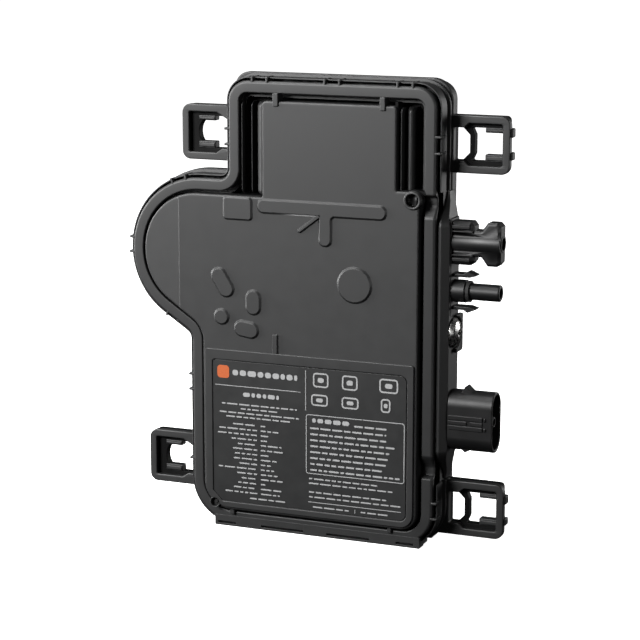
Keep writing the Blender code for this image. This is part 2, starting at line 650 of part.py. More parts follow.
def dc_socket():
    """Flat block with latch notches, a round barrel and a contact sleeve inside."""
    start = BULKHEAD_INNER + GAP
    half, notch = SOCKET_HALF, SOCKET_NOTCH
    left, floor, rise, head = SOCKET_NOTCH_X
    top = ((BARREL_START - 0.1, -half), (left, -half), (floor, -half + 2.0), (floor, -notch), (rise, -notch),
           (head, -half), (116.3, -half), (DC_END - STEP, -half + 1.6))
    loop = [(x, DC_SOCKET_Z + z) for x, z in top] + [(x, DC_SOCKET_Z - z) for x, z in reversed(top)]
    body = prism("dc_socket_body", [loop], AXIS_Y - SOCKET_HALF_DEPTH, AXIS_Y + SOCKET_HALF_DEPTH)
    length = DC_END - BARREL_START
    barrel = turned("barrel", [(0, length), (BARREL_RADIUS, length), (BARREL_RADIUS, 0), (0, 0)],
                    (BARREL_START, AXIS_Y, DC_SOCKET_Z), "X", 24)
    neck = turned("neck", [(0, 6.0), (NECK_RADIUS, 6.0), (NECK_RADIUS, 0), (0, 0)],
                  (start, AXIS_Y, DC_SOCKET_Z), "X", 24)
    body = union(body, barrel, neck)
    floor = (DC_END - BORE_DEPTH, AXIS_Y, DC_SOCKET_Z)
    past = BORE_DEPTH + 2.0
    bore = [(0, past), (BORE_RADIUS, past), (BORE_RADIUS, 0), (0, 0)]
    body = cut(body, turned("bore", bore, floor, "X", 20))
    turned("dc_socket_contact", [(2.0, 6.0), (2.0, 0), (1.1, 0), (1.1, 6.0)],
           (floor[0] + GAP, AXIS_Y, DC_SOCKET_Z), "X", 16)
    return body


def dc_plug():
    """Collar and tube with a contact pin and a seal ring at the collar's shoulder."""
    start = BULKHEAD_INNER + GAP
    length = DC_END - start
    shoulder = PLUG_SHOULDER - start
    profile = [(0, length), (TUBE_RADIUS - 0.5, length), (TUBE_RADIUS, length - 0.7),
               (TUBE_RADIUS, shoulder), (COLLAR_RADIUS - 0.6, shoulder),
               (COLLAR_RADIUS, shoulder - 0.8), (COLLAR_RADIUS, 0), (0, 0)]
    body = turned("dc_plug_body", profile, (start, AXIS_Y, DC_PLUG_Z), "X", 24)
    floor = DC_END - PLUG_BORE_DEPTH
    past = PLUG_BORE_DEPTH + 1.0
    bore = [(0, past), (PLUG_BORE_RADIUS, past), (PLUG_BORE_RADIUS, 0), (0, 0)]
    body = cut(body, turned("bore", bore, (floor, AXIS_Y, DC_PLUG_Z), "X", 16))
    turned("dc_plug_pin", [(0, 9.0), (1.1, 8.2), (1.5, 7.0), (1.5, 0), (0, 0)],
           (floor + GAP, AXIS_Y, DC_PLUG_Z), "X", 12)
    inner, outer = TUBE_RADIUS + GAP, TUBE_RADIUS + 1.1
    turned("dc_plug_seal", [(outer, 1.4), (outer, 0), (inner, 0), (inner, 1.4)],
           (PLUG_SHOULDER + GAP, AXIS_Y, DC_PLUG_Z), "X", 20)
    return body


def latch(name, sign):
    """Hooked latch arm beside the plug; its origin is on the line it flexes about."""
    profile = ((LATCH_ROOT_X, 6.6), (103.6, 6.6), (LATCH_TIP_X, 7.6), (102.4, 9.4), (100.9, 8.2),
               (LATCH_ROOT_X, 8.2))
    loop = [(x, DC_PLUG_Z + sign * z) for x, z in profile]
    arm = prism(name, [loop], AXIS_Y - LATCH_HALF_WIDTH, AXIS_Y + LATCH_HALF_WIDTH)
    pivot = to_part(LATCH_ROOT_X, AXIS_Y, DC_PLUG_Z + sign * 7.4)
    arm.data.transform(Matrix.Translation(-pivot))
    arm.location = pivot
    return arm


EARTH_SUNK = 3.8              # depth of the shank below the head
DRIVE_HALF = (0.5, 2.6)       # half width and half length of each slot of the cross
GUARD_REACH = 8.8
GUARD_Z = (-9.3, 7.9)
GUARD_THICKNESS = 1.6


def earth_terminal():
    """Pan-head earth screw and the guard plate beside it."""
    height = BULKHEAD_FACE + GAP
    dome = [(0, 6.9), (2.6, 6.7), (4.9, 5.7), (EARTH_HEAD_RADIUS, 4.1), (EARTH_HEAD_RADIUS, EARTH_SUNK),
            (SCREW_SHANK, EARTH_SUNK), (SCREW_SHANK, 0), (0, 0)]
    screw = turned("earth_screw", dome, (height - EARTH_SUNK, AXIS_Y, EARTH_Z), "X", 24)
    for half_y, half_z in (DRIVE_HALF, DRIVE_HALF[::-1]):
        slot = box("drive", (height + GUARD_THICKNESS, height + 4.0), (AXIS_Y - half_y, AXIS_Y + half_y),
                   (EARTH_Z - half_z, EARTH_Z + half_z))
        screw = cut(screw, slot)
    guard = rectangle((AXIS_Y, AXIS_Y + GUARD_REACH), (EARTH_Z + GUARD_Z[0], EARTH_Z + GUARD_Z[1]), 0.5)
    plate_body = prism("earth_guard_plate", [guard], height, height + GUARD_THICKNESS, "YZ")
    clear = circle((AXIS_Y, EARTH_Z), EARTH_HEAD_RADIUS + 2 * GAP, 24)
    cut(plate_body, prism("clear", [clear], height - 1.0, height + 3.0, "YZ"))


# Electronics -------------------------------------------------------------------------------------

BOARD_SCREW = 4.9             # length of a board screw under its head
TRANSFORMER = (-22.0, 130.4)
CORE_RADIUS = 19.0
CORE_WALL = 2.2
CORE_POST = 6.0
CORE_FRONT = 4.9
SPOOL_RADIUS = 16.2
SPOOL_NECK = 7.4
SPOOL_FLANGE = 0.9
CAPACITOR_X = (17.0, 37.0, 57.0)
CAPACITOR_RADIUS = 7.6
CAPACITOR_LONG = 30.0
TRANSISTOR_THICK = 4.6
SPREADER_THICK = 2.0
TRANSISTOR_X = (-6.0, 10.0, 26.0, 42.0)


def circuit_board():
    board = prism("circuit_board", [rounded(OUTLINE, -9.2)], BOARD_FRONT, BOARD_BACK)
    for x, z in BOARD_POSTS:
        board = cut(board, prism("hole", [circle((x, z), POST_HOLE + GAP, 10)], 10.0, 30.0))
    for index, (x, z) in enumerate(BOARD_POSTS, start=1):
        screw = [(0, 6.6), (2.6, 6.6), (2.8, BOARD_SCREW), (POST_HOLE, BOARD_SCREW), (POST_HOLE, 0), (0, 0)]
        turned(f"board_screw_{index}", screw, (x, BOARD_FRONT - GAP + BOARD_SCREW, z), "Y", 12)
    return board


def transformer():
    """Round pot core in two halves around a wound bobbin, in the lobe."""
    x, z = TRANSFORMER
    depth = BOARD_FRONT - GAP - CORE_FRONT
    half = (depth - GAP) / 2
    inside, floor = CORE_RADIUS - CORE_WALL, half - CORE_WALL
    cup = [(0, half), (CORE_RADIUS, half), (CORE_RADIUS, 0), (inside, 0),
           (inside, floor), (CORE_POST, floor), (CORE_POST, 0), (0, 0)]
    turned("transformer_core_front", cup, (x, CORE_FRONT + half, z), "Y", 28)
    flipped = [(r, half - h) for r, h in reversed(cup)]
    turned("transformer_core_rear", flipped, (x, BOARD_FRONT - GAP, z), "Y", 28)
    low, high = CORE_FRONT + CORE_WALL + GAP, BOARD_FRONT - GAP - CORE_WALL - GAP
    long = high - low
    bore = CORE_POST + GAP
    spool = [(SPOOL_RADIUS, long), (SPOOL_RADIUS, long - SPOOL_FLANGE), (SPOOL_NECK, long - SPOOL_FLANGE),
             (SPOOL_NECK, SPOOL_FLANGE), (SPOOL_RADIUS, SPOOL_FLANGE), (SPOOL_RADIUS, 0),
             (bore, 0), (bore, long)]
    turned("transformer_bobbin", spool, (x, high, z), "Y", 24)
    wire = (SPOOL_NECK + GAP, SPOOL_RADIUS - 0.8)
    end = SPOOL_FLANGE + GAP
    winding = [(wire[1], long - end), (wire[1], end), (wire[0], end), (wire[0], long - end)]
    turned("transformer_winding", winding, (x, high, z), "Y", 24)


def board_parts():
    """Components between the board and the cover."""
    rear = BOARD_FRONT - GAP
    for index, x in enumerate(CAPACITOR_X, start=1):
        radius, long = CAPACITOR_RADIUS, CAPACITOR_LONG
        can = [(0, long), (radius - 1.0, long), (radius, long - 1.0), (radius, 3.4), (radius - 0.7, 2.6),
               (radius, 1.8), (radius, 0), (0, 0)]
        turned(f"bulk_capacitor_{index}", can, (x, rear - CAPACITOR_RADIUS, 166.5), "Z", 20)
    for index, x in enumerate(TRANSISTOR_X, start=1):
        box(f"power_transistor_{index}", (x, x + 10.0), (rear - TRANSISTOR_THICK, rear), (84.0, 97.0), 0.4)
    behind = rear - TRANSISTOR_THICK - GAP
    box("heat_spreader", (-8.0, 54.0), (behind - SPREADER_THICK, behind), (82.0, 99.0), 0.5)
    box("film_capacitor", (58.0, 74.0), (rear - 11.0, rear), (120.0, 148.0), 0.8)
    box("relay", (50.0, 68.0), (rear - 10.5, rear), (52.0, 76.0), 0.6)
    box("controller_chip", (8.0, 22.0), (rear - 1.6, rear), (40.0, 54.0), 0.3)
    turned("line_fuse", [(0, 20.0), (2.6, 20.0), (2.6, 0), (0, 0)], (44.0, rear - 2.6, 22.0), "Z", 12)
    turned("surge_varistor", [(0, 4.4), (5.2, 4.4), (6.0, 3.6), (6.0, 0.8), (5.2, 0), (0, 0)],
           (60.0, rear - 6.0, 36.0), "X", 16)
    core = [(11.0, 7.5), (11.0, 0), (5.4, 0), (5.4, 7.5)]
    turned("choke_core", core, (10.0, rear - 1.2, 120.0), "Y", 24)
    box("choke_base", (-2.0, 22.0), (rear - 0.9, rear), (108.0, 132.0), 0.3)


# Finish ------------------------------------------------------------------------------------------

MATERIALS = {
    "case_black": ((0.030, 0.031, 0.032), 0.55, 0.0),
    "connector_black": ((0.018, 0.018, 0.019), 0.42, 0.0),
    "seal_rubber": ((0.02, 0.02, 0.02), 0.8, 0.0),
    "label_black": ((0.022, 0.022, 0.023), 0.45, 0.0),
    "clear_lens": ((0.25, 0.27, 0.28), 0.15, 0.0),
    "zinc_steel": ((0.62, 0.62, 0.60), 0.3, 1.0),
    "contact_brass": ((0.72, 0.66, 0.50), 0.25, 1.0),
    "ferrite": ((0.06, 0.06, 0.065), 0.7, 0.0),
    "copper_winding": ((0.62, 0.28, 0.10), 0.4, 1.0),
    "board_green": ((0.02, 0.12, 0.05), 0.45, 0.0),
    "component_black": ((0.02, 0.02, 0.02), 0.4, 0.0),
    "capacitor_sleeve": ((0.03, 0.05, 0.14), 0.35, 0.0),
    "box_yellow": ((0.75, 0.52, 0.08), 0.45, 0.0),
    "nylon_white": ((0.72, 0.72, 0.68), 0.5, 0.0),
    "aluminium": ((0.75, 0.75, 0.76), 0.35, 1.0),
    "disc_blue": ((0.05, 0.16, 0.42), 0.4, 0.0),
}
FINISH_OF = {
    "rear_shell": "case_black", "front_cover": "case_black", "connector_bulkhead": "case_black",
    "perimeter_seal": "seal_rubber", "rating_label": "label_black", "status_lens": "clear_lens",
    "vent_plug": "seal_rubber", "ac_shroud": "connector_black", "ac_insert": "connector_black",
    "ac_seal": "seal_rubber", "dc_socket_body": "connector_black", "dc_plug_body": "connector_black",
    "dc_plug_seal": "seal_rubber", "dc_latch": "connector_black", "earth_screw": "zinc_steel",
    "earth_guard": "component_black", "ac_contact": "contact_brass", "dc_socket_contact": "contact_brass",
    "dc_plug_pin": "contact_brass", "circuit_board": "board_green", "board_screw": "zinc_steel",
    "transformer_core": "ferrite", "transformer_bobbin": "nylon_white",
    "transformer_winding": "copper_winding",
    "bulk_capacitor": "capacitor_sleeve", "power_transistor": "component_black", "heat_spreader": "aluminium",
    "film_capacitor": "box_yellow", "relay": "component_black", "controller_chip": "component_black",
    "line_fuse": "nylon_white", "surge_varistor": "disc_blue", "choke_core": "ferrite",
    "choke_base": "nylon_white",
}


def make_materials():
    made = {}
    for name, (colour, roughness, metallic) in MATERIALS.items():
        material = bpy.data.materials.new(name)
        material.use_nodes = True
        shader = material.node_tree.nodes["Principled BSDF"]
        shader.inputs["Base Color"].default_value = (*colour, 1.0)
        shader.inputs["Roughness"].default_value = roughness
        shader.inputs["Metallic"].default_value = metallic
        made[name] = material
    return made


def finish_objects():
    made = make_materials()
    for obj in bpy.data.collections[COLLECTION].objects:
        slot = next(slot for start, slot in FINISH_OF.items() if obj.name.startswith(start))
        obj.data.materials.clear()
        obj.data.materials.append(made[slot])
        obj.data.shade_smooth()
        obj.data.set_sharp_from_angle(angle=math.radians(32))


def main():
    for obj in list(bpy.data.objects):
        bpy.data.objects.remove(obj)
    bpy.context.scene.collection.children.link(bpy.data.collections.new(COLLECTION))
    front_cover()
    cover_fittings()
    rear_shell()
    bulkhead()
    ac_connector()
    dc_socket()
    dc_plug()
    latch("dc_latch_upper", 1)
    latch("dc_latch_lower", -1)
    earth_terminal()
    circuit_board()
    transformer()
    board_parts()
    finish_objects()


main()
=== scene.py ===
"""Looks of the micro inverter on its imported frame.

Lengths are in millimetres in a layout frame: X to the right, Y to the back from the front rim's
face, Z up from the skirt's underside. to_part() turns them into metres in the part's own frame."""
import json
import random
from math import atan2, ceil, cos, degrees, pi, radians, sin, tan

import bmesh
import bpy
from mathutils import Matrix, Vector
from mathutils.geometry import tessellate_polygon


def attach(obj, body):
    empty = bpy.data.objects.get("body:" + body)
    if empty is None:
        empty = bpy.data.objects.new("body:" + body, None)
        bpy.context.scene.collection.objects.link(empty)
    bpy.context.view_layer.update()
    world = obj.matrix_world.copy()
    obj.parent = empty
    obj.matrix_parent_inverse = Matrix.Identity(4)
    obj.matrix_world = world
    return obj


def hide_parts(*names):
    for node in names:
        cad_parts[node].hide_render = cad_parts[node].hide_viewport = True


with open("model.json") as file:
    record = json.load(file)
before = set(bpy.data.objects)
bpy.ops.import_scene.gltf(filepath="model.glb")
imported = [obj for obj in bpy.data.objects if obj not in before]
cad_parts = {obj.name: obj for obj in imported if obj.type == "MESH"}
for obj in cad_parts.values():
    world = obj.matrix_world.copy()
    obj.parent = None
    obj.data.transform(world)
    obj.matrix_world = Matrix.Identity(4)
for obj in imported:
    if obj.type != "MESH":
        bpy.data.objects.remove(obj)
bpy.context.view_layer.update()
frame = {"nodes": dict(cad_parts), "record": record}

MM = 0.001
ORIGIN = Vector((29.5, 11.6, 0.0))
AXIS_Y = 11.6                 # all connector axes lie in the middle of the depth
FLOOR = 0.15                  # no swept outline goes lower than this
SHARP = radians(38.0)         # edges that turn more than this are shaded sharp

# Case outline at the front rim's outer edge.
RIM_RIGHT = 90.2
RIM_TOP = 210.0
RIM_LEFT_UPPER = -9.9
RIM_LEFT_LOWER = -29.1
LOBE_LEFT = -59.2
LOBE_TOP = 164.6
LOBE_RADIUS = 34.0
RIGHT_EDGE = 6                # the outline's edge that starts at its upper right corner


def case_outline(upper_left, upper_right, lower_right):
    """Corners x, z and radius, with the radii of the three outer ones given."""
    return [
        (RIM_LEFT_LOWER, 2.0, 20.0), (RIM_LEFT_LOWER, 91.6, 6.0),
        (LOBE_LEFT, 111.6, LOBE_RADIUS), (LOBE_LEFT, LOBE_TOP, LOBE_RADIUS),
        (RIM_LEFT_UPPER, LOBE_TOP, 5.0), (RIM_LEFT_UPPER, RIM_TOP, upper_left),
        (RIM_RIGHT, RIM_TOP, upper_right), (RIM_RIGHT, 2.0, lower_right),
    ]


OUTLINE = case_outline(9.5, 9.5, 14.5)
REAR_OUTLINE = case_outline(4.6, 7.2, 12.0)

# Depths, front to back.
LABEL_FRONT = -3.5
PLATEAU_FRONT = -2.6
WELL_FLOOR = 4.5
WELL_BACK = 9.5
COVER_BACK = 13.0
REAR_RIM_FRONT = 14.2
BACK = 26.7

# Block on the right side that carries the connectors, and the heights of their axes.
BULKHEAD_INNER = 91.4
BULKHEAD_FACE = 95.2
BULKHEAD_Z = (31.0, 163.0)
SOCKET_Z = 140.9
PLUG_Z = 118.8
EARTH_Z = 99.5
AC_Z = 59.75
ROUND_START = 91.7            # where the round connector parts begin, inside the block
SOCKET_START = 95.3


def to_part(x, y, z):
    return (Vector((x, y, z)) - ORIGIN) * MM


def add(name, data):
    """A new object with this data, in the scene."""
    obj = bpy.data.objects.new(name, data)
    bpy.context.scene.collection.objects.link(obj)
    return obj


def smooth(t):
    t = max(0.0, min(1.0, t))
    return t * t * (3 - 2 * t)


# Outlines ---


def corner_frames(corners):
    """For each corner, the outward normals before and after it, and 1 where it bulges, else -1."""
    count = len(corners)
    area = sum(corners[i - 1][0] * corners[i][1] - corners[i][0] * corners[i - 1][1] for i in range(count))
    side = 1.0 if area > 0 else -1.0
    normals = []
    for i in range(count):
        after = corners[(i + 1) % count]
        along = Vector((after[0] - corners[i][0], after[1] - corners[i][1])).normalized()
        normals.append(Vector((along.y, -along.x)) * side)
    frames = []
    for i, after in enumerate(normals):
        before = normals[i - 1]
        turn = side * (before.x * after.y - before.y * after.x)
        frames.append((before, after, 1.0 if turn > 0 else -1.0))
    return frames


def inset(corners, offset):
    """The corner list of the same outline moved outwards by offset."""
    moved = []
    for (x, z, radius), (before, after, convex) in zip(corners, corner_frames(corners)):
        place = Vector((x, z)) + (before + after) * (offset / (1.0 + before.dot(after)))
        moved.append((place.x, place.y, max(radius + offset * convex, 0.02) if radius > 0 else 0.0))
    return moved


def rounded(corners, offset=0.0, arc=5.0, stops=None, floor=None):
    """Closed loop of 2D points round the outline, with as many points at every offset.
    stops gives, for an upright edge, the heights at which it gets a point of its own."""
    frames = corner_frames(corners)
    points = []
    for i, (x, z, radius) in enumerate(inset(corners, offset)):
        before, after, convex = frames[i]
        corner = Vector((x, z if floor is None else max(z, floor)))
        if radius <= 0:
            points.append(corner)
        else:
            angle = before.angle(after)
            centre = corner - (before + after) * (convex * radius / (1.0 + before.dot(after)))
            steps = max(2, ceil(degrees(angle) / arc))
            for k in range(steps + 1):
                part = k / steps
                heading = before * sin((1 - part) * angle) + after * sin(part * angle)
                points.append(centre + heading * (convex * radius / sin(angle)))
        for height in (stops or {}).get(i, ()):
            points.append(Vector((corner.x, height)))
    return points


def rectangle(low, high, radius=0.0):
    """Corners from the lower left, with one radius or four."""
    (x0, z0), (x1, z1) = low, high
    a, b, c, d = radius if isinstance(radius, tuple) else (radius,) * 4
    return [(x0, z0, a), (x1, z0, b), (x1, z1, c), (x0, z1, d)]


def pill(centre, half_length, radius, angle=0.0):
    """Corners of a capsule about centre; angle in degrees turns it from the first axis."""
    turn = radians(angle)
    corners = []
    for a, b in ((-1, -1), (1, -1), (1, 1), (-1, 1)):
        u, v = a * (half_length + radius), b * radius
        corners.append((centre[0] + u * cos(turn) - v * sin(turn),
                        centre[1] + u * sin(turn) + v * cos(turn), radius * 0.999))
    return corners


def disc(centre, radius):
    return pill(centre, 0.0, radius)


def soften(path, closed=False, segments=4):
    """Path of (a, b, radius) corners with each corner turned into an arc."""
    out = []
    for i, (a, b, radius) in enumerate(path):
        here = Vector((a, b))
        if radius <= 0 or (not closed and i in (0, len(path) - 1)):
            out.append((a, b))
            continue
        before = Vector(path[i - 1][:2]) - here
        after = Vector(path[(i + 1) % len(path)][:2]) - here
        half = before.angle(after) / 2
        reach = min(radius / tan(half), 0.49 * before.length, 0.49 * after.length)
        before.normalize()
        after.normalize()
        centre = here + (before + after).normalized() * (reach / cos(half))
        first, last = here + before * reach - centre, here + after * reach - centre
        swing = first.angle(last)
        for k in range(segments + 1):
            part = k / segments
            spoke = (first * sin((1 - part) * swing) + last * sin(part * swing)) / sin(swing)
            out.append(tuple(centre + spoke))
    return out


# Solids ---


class Solid:
    """Gathers closed bits of one piece, in layout millimetres."""

    def __init__(self):
        self.verts = []
        self.faces = []

    def loft(self, rings, closed=False, caps=True):
        """Skins rings of equally many points, closing the ends with flat faces."""
        base, count = len(self.verts), len(rings[0])
        for ring in rings:
            self.verts += [tuple(p) for p in ring]
        for r in range(len(rings) - (0 if closed else 1)):
            s = (r + 1) % len(rings)
            for k in range(count):
                m = (k + 1) % count
                self.faces.append((base + r * count + k, base + r * count + m,
                                   base + s * count + m, base + s * count + k))
        if caps and not closed:
            self.faces.append(tuple(base + k for k in range(count)))
            self.faces.append(tuple(base + (len(rings) - 1) * count + k for k in range(count)))
        return self

    def slab(self, loops, low, high, plane="XZ", edges=(0.4, 0.4), arc=8.0, segments=3):
        """Extrudes outlines, the first outer and any others holes, with rounded edges at both ends."""
        place = {"XZ": lambda u, v, w: (u, w, v), "YZ": lambda u, v, w: (w, u, v)}[plane]
        first, last = edges
        turns = [k / segments * pi / 2 for k in range(segments + 1)]
        stations = [(first * (1 - sin(t)), low + first * (1 - cos(t))) for t in turns]
        stations += [(last * (1 - cos(t)), high - last * (1 - sin(t))) for t in turns]
        ends = ([], [])
        for index, corners in enumerate(loops):
            sign = -1.0 if index == 0 else 1.0
            rings = [[place(p.x, p.y, w) for p in rounded(corners, sign * shrink, arc)]
                     for shrink, w in stations]
            start = len(self.verts)
            self.loft(rings, caps=len(loops) == 1)
            count = len(rings[0])
            ends[0].append((start, rings[0]))
            ends[1].append((start + (len(rings) - 1) * count, rings[-1]))
        if len(loops) > 1:
            for end in ends:
                order = [start + k for start, ring in end for k in range(len(ring))]
                for face in tessellate_polygon([[Vector(p) for p in ring] for _, ring in end]):
                    self.faces.append(tuple(order[k] for k in face))
        return self

    def emboss(self, corners, low, high, spread):
        """Raised mark that swells smoothly from the surface at low up to its flat face at high."""
        rings, steps = [], 8
        outside, swell = 0.45, 0.35
        for k in range(steps + 1):
            part = k / steps
            depth = low + (high - low) * ((1 - swell) * part + swell * smooth(part))
            rings.append([(p.x, depth, p.y) for p in rounded(corners, spread * (outside - part), 8.0)])
        return self.loft(rings)

    def ridge(self, plan, back, z):
        """Upright rib of the given plan, run out to the back at both ends."""
        low, high = z
        rings = []
        for height, drop in ((low, 2.0), (low + 1.2, 0.5), (low + 2.2, 0.0),
                             (high - 2.2, 0.0), (high - 1.0, 0.5), (high, 2.2)):
            front = [(x, y + drop, fillet) for x, y, fillet in plan]
            path = [(plan[0][0], back, 0.0), *front, (plan[-1][0], back, 0.0)]
            rings.append([(u, v, height) for u, v in soften(path)])
        return self.loft(rings)

    def block(self, x, y, z, edge=0.3):
        outline = rectangle((x[0], z[0]), (x[1], z[1]), edge)
        return self.slab([outline], *y, edges=(edge, edge), arc=30)

    def spin(self, profile, centre, axis="X", steps=48, closed=False):
        """Turns a path of (radius, height, fillet) about an axis through centre."""
        rings = []
        for radius, height in soften(profile, closed):
            ring = []
            for k in range(steps):
                u = radius * cos(2 * pi * k / steps)
                v = radius * sin(2 * pi * k / steps)
                ring.append((centre[0] + height, centre[1] + u, centre[2] + v) if axis == "X"
                            else (centre[0] + u, centre[1] - height, centre[2] + v))
            rings.append(ring)
        return self.loft(rings, closed)

    def sweep(self, corners, profile, closed=False, stops=None, floor=None, segments=4):
        """Carries a profile of (offset, depth, fillet) round an outline."""
        rings = []
        for offset, depth in soften(profile, closed, segments):
            rings.append([(p.x, depth, p.y) for p in rounded(corners, offset, 4.0, stops, floor)])
        return self.loft(rings, closed)

    def split(self, x):
        """Cuts every face along the plane X = x, so that the surface can bend there."""
        cutter = bmesh.new()
        made = [cutter.verts.new(v) for v in self.verts]
        for face in self.faces:
            cutter.faces.new([made[k] for k in face])
        bmesh.ops.bisect_plane(cutter, geom=cutter.verts[:] + cutter.edges[:] + cutter.faces[:],
                               dist=1e-4, plane_co=(x, 0, 0), plane_no=(1, 0, 0))
        cutter.verts.index_update()
        self.verts = [tuple(v.co) for v in cutter.verts]
        self.faces = [tuple(v.index for v in face.verts) for face in cutter.faces]
        cutter.free()

    def bend(self, move):
        self.verts = [move(*v) for v in self.verts]
        return self

    def piece(self, name, kind, *nodes, body="case"):
        """Makes the object, rides it on its body and lets it stand for its CAD nodes."""
        mesh = bpy.data.meshes.new(name)
        mesh.from_pydata([to_part(*v) for v in self.verts], [], self.faces)
        tidy = bmesh.new()
        tidy.from_mesh(mesh)
        bmesh.ops.remove_doubles(tidy, verts=tidy.verts, dist=1e-7)
        bmesh.ops.recalc_face_normals(tidy, faces=tidy.faces)
        tidy.to_mesh(mesh)
        tidy.free()
        mesh.shade_smooth()
        mesh.set_sharp_from_angle(angle=SHARP)
        obj = add(name, mesh)
        even = obj.modifiers.new("even_shading", "WEIGHTED_NORMAL")
        even.keep_sharp = True
        look, slot = kind
        mesh.materials.append(look)
        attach(obj, body)
        if nodes:
            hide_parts(*nodes)
        return obj


# Materials ---


class Look:
    """A Principled material whose inputs are driven by procedural textures."""

    def __init__(self, name, roughness, metallic=0.0, specular=0.5, coat=0.0):
        self.material = bpy.data.materials.new(name)
        self.material.use_nodes = True
        self.nodes = self.material.node_tree.nodes
        self.links = self.material.node_tree.links
        self.shader = self.nodes["Principled BSDF"]
        for socket, value in (("Metallic", metallic), ("Roughness", roughness),
                              ("Specular IOR Level", specular), ("Coat Weight", coat)):
            self.shader.inputs[socket].default_value = value
        self.place = self.nodes.new("ShaderNodeTexCoord").outputs["Object"]

    def texture(self, kind, scale, place=None):
        """A texture node whose pattern has about scale features in a metre."""
        texture = self.nodes.new("ShaderNodeTex" + kind)
        texture.inputs["Scale"].default_value = scale
        self.links.new(place or self.place, texture.inputs["Vector"])
        return texture

    def noise(self, size_mm, detail, stretch=None):
        """Noise about size_mm across; stretch scales the pattern along each axis."""
        place = None
        if stretch:
            mapping = self.nodes.new("ShaderNodeMapping")
            mapping.inputs["Scale"].default_value = stretch
            self.links.new(self.place, mapping.inputs["Vector"])
            place = mapping.outputs["Vector"]
        texture = self.texture("Noise", 1.0 / (size_mm * MM), place)
        texture.inputs["Detail"].default_value = detail
        return texture.outputs["Fac"]

    def cells(self, size_mm):
        return self.texture("Voronoi", 1.0 / (size_mm * MM)).outputs["Distance"]

    def bands(self, size_mm, direction):
        texture = self.texture("Wave", 0.314 / (size_mm * MM))
        texture.bands_direction = direction
        texture.inputs["Distortion"].default_value = 0.4
        return texture.outputs["Fac"]

    def ramp(self, value, low, high, source=(0.3, 0.7)):
        """Maps value between source limits onto low to high: two numbers or two colours."""
        ramp = self.nodes.new("ShaderNodeValToRGB")
        ends = ramp.color_ramp.elements
        ends[0].position, ends[1].position = source
        for end, amount in ((ends[0], low), (ends[1], high)):
            end.color = (*amount, 1.0) if isinstance(amount, tuple) else (amount, amount, amount, 1.0)
        self.links.new(value, ramp.inputs["Fac"])
        return ramp.outputs["Color"]

    def edges(self, width_mm):
        """About 1 on rounded edges and 0 on flat faces; the mask of the painted edge highlight."""
        bevel = self.nodes.new("ShaderNodeBevel")
        bevel.samples = 4
        bevel.inputs["Radius"].default_value = width_mm * MM
        form = self.nodes.new("ShaderNodeNewGeometry")
        dot = self.nodes.new("ShaderNodeVectorMath")
        dot.operation = "DOT_PRODUCT"
        self.links.new(bevel.outputs["Normal"], dot.inputs[0])
        self.links.new(form.outputs["Normal"], dot.inputs[1])
        return self.ramp(dot.outputs["Value"], 1.0, 0.0, (0.86, 0.995))

    def mixed(self, fac, under, over):
        mix = self.nodes.new("ShaderNodeMix")
        mix.data_type = "RGBA"
        mix.inputs["B"].default_value = (*over, 1.0)
        self.links.new(fac, mix.inputs["Factor"])
        self.links.new(under, mix.inputs["A"])
        return mix.outputs["Result"]

    def colour(self, output):
        self.links.new(output, self.shader.inputs["Base Color"])

    def roughness(self, output):
        self.links.new(output, self.shader.inputs["Roughness"])

    def bump(self, height, depth_mm, strength, under=None):
        bump = self.nodes.new("ShaderNodeBump")
        bump.inputs["Distance"].default_value = depth_mm * MM
        bump.inputs["Strength"].default_value = strength
        self.links.new(height, bump.inputs["Height"])
        if under is not None:
            self.links.new(under, bump.inputs["Normal"])
        self.links.new(bump.outputs["Normal"], self.shader.inputs["Normal"])
        return bump.outputs["Normal"]


def plastic(name, dark, light, rough, grain_mm=0.35, grain_depth=0.012, painted_edge_highlight=None, edge_mm=0.5, specular=0.5):
    """Moulded plastic: faint flow marks, fine spark-eroded grain, and a painted highlight that makes every
    rounded edge paler.
    """
    look = Look(name, rough, specular=specular)
    body = look.ramp(look.noise(40.0, 3.0), dark, light)
    # Painted highlight: rounded edges are mixed towards a paler colour, whichever way they face.
    if painted_edge_highlight:
        body = look.mixed(look.edges(edge_mm), body, painted_edge_highlight)
    look.colour(body)
    look.roughness(look.ramp(look.noise(6.0, 6.0), rough - 0.02, rough + 0.03))
    waves = look.bump(look.noise(14.0, 1.0), 0.02, 0.05)
    look.bump(look.noise(grain_mm, 3.0), grain_depth, 0.8, under=waves)
    return look.material


def metal(name, dark, light, rough, brushed=None):
    look = Look(name, rough, metallic=1.0)
    look.colour(look.ramp(look.noise(3.0, 5.0), dark, light))
    look.roughness(look.ramp(look.noise(1.2, 6.0), rough - 0.08, rough + 0.12))
    look.bump(look.noise(0.5, 4.0, brushed), 0.01, 0.5)
    return look.material


def wound(name):
    look = Look(name, 0.32, metallic=1.0)
    turns = look.bands(0.55, "Y")
    look.colour(look.ramp(turns, (0.30, 0.10, 0.03), (0.70, 0.30, 0.11), (0.1, 0.7)))
    look.bump(turns, 0.25, 0.9)
    return look.material


def board_look(name):
    look = Look(name, 0.38, coat=0.2)
    look.colour(look.ramp(look.cells(2.6), (0.012, 0.085, 0.035), (0.02, 0.14, 0.06), (0.18, 0.3)))
    look.roughness(look.ramp(look.noise(2.0, 5.0), 0.32, 0.46))
    look.bump(look.cells(2.6), 0.04, 0.5)
    return look.material


def lens_look(name):
    look = Look(name, 0.3, specular=0.35, coat=0.2)
    look.colour(look.ramp(look.noise(2.0, 3.0), (0.010, 0.011, 0.012), (0.016, 0.017, 0.018)))
    look.bump(look.cells(0.9), 0.06, 0.4)
    return look.material


def ink(name, low, high):
    look = Look(name, 0.5)
    look.colour(look.ramp(look.noise(0.6, 4.0), low, high))
    look.roughness(look.ramp(look.noise(0.8, 4.0), 0.42, 0.58))
    look.bump(look.noise(0.25, 3.0), 0.006, 0.6)
    return look.material
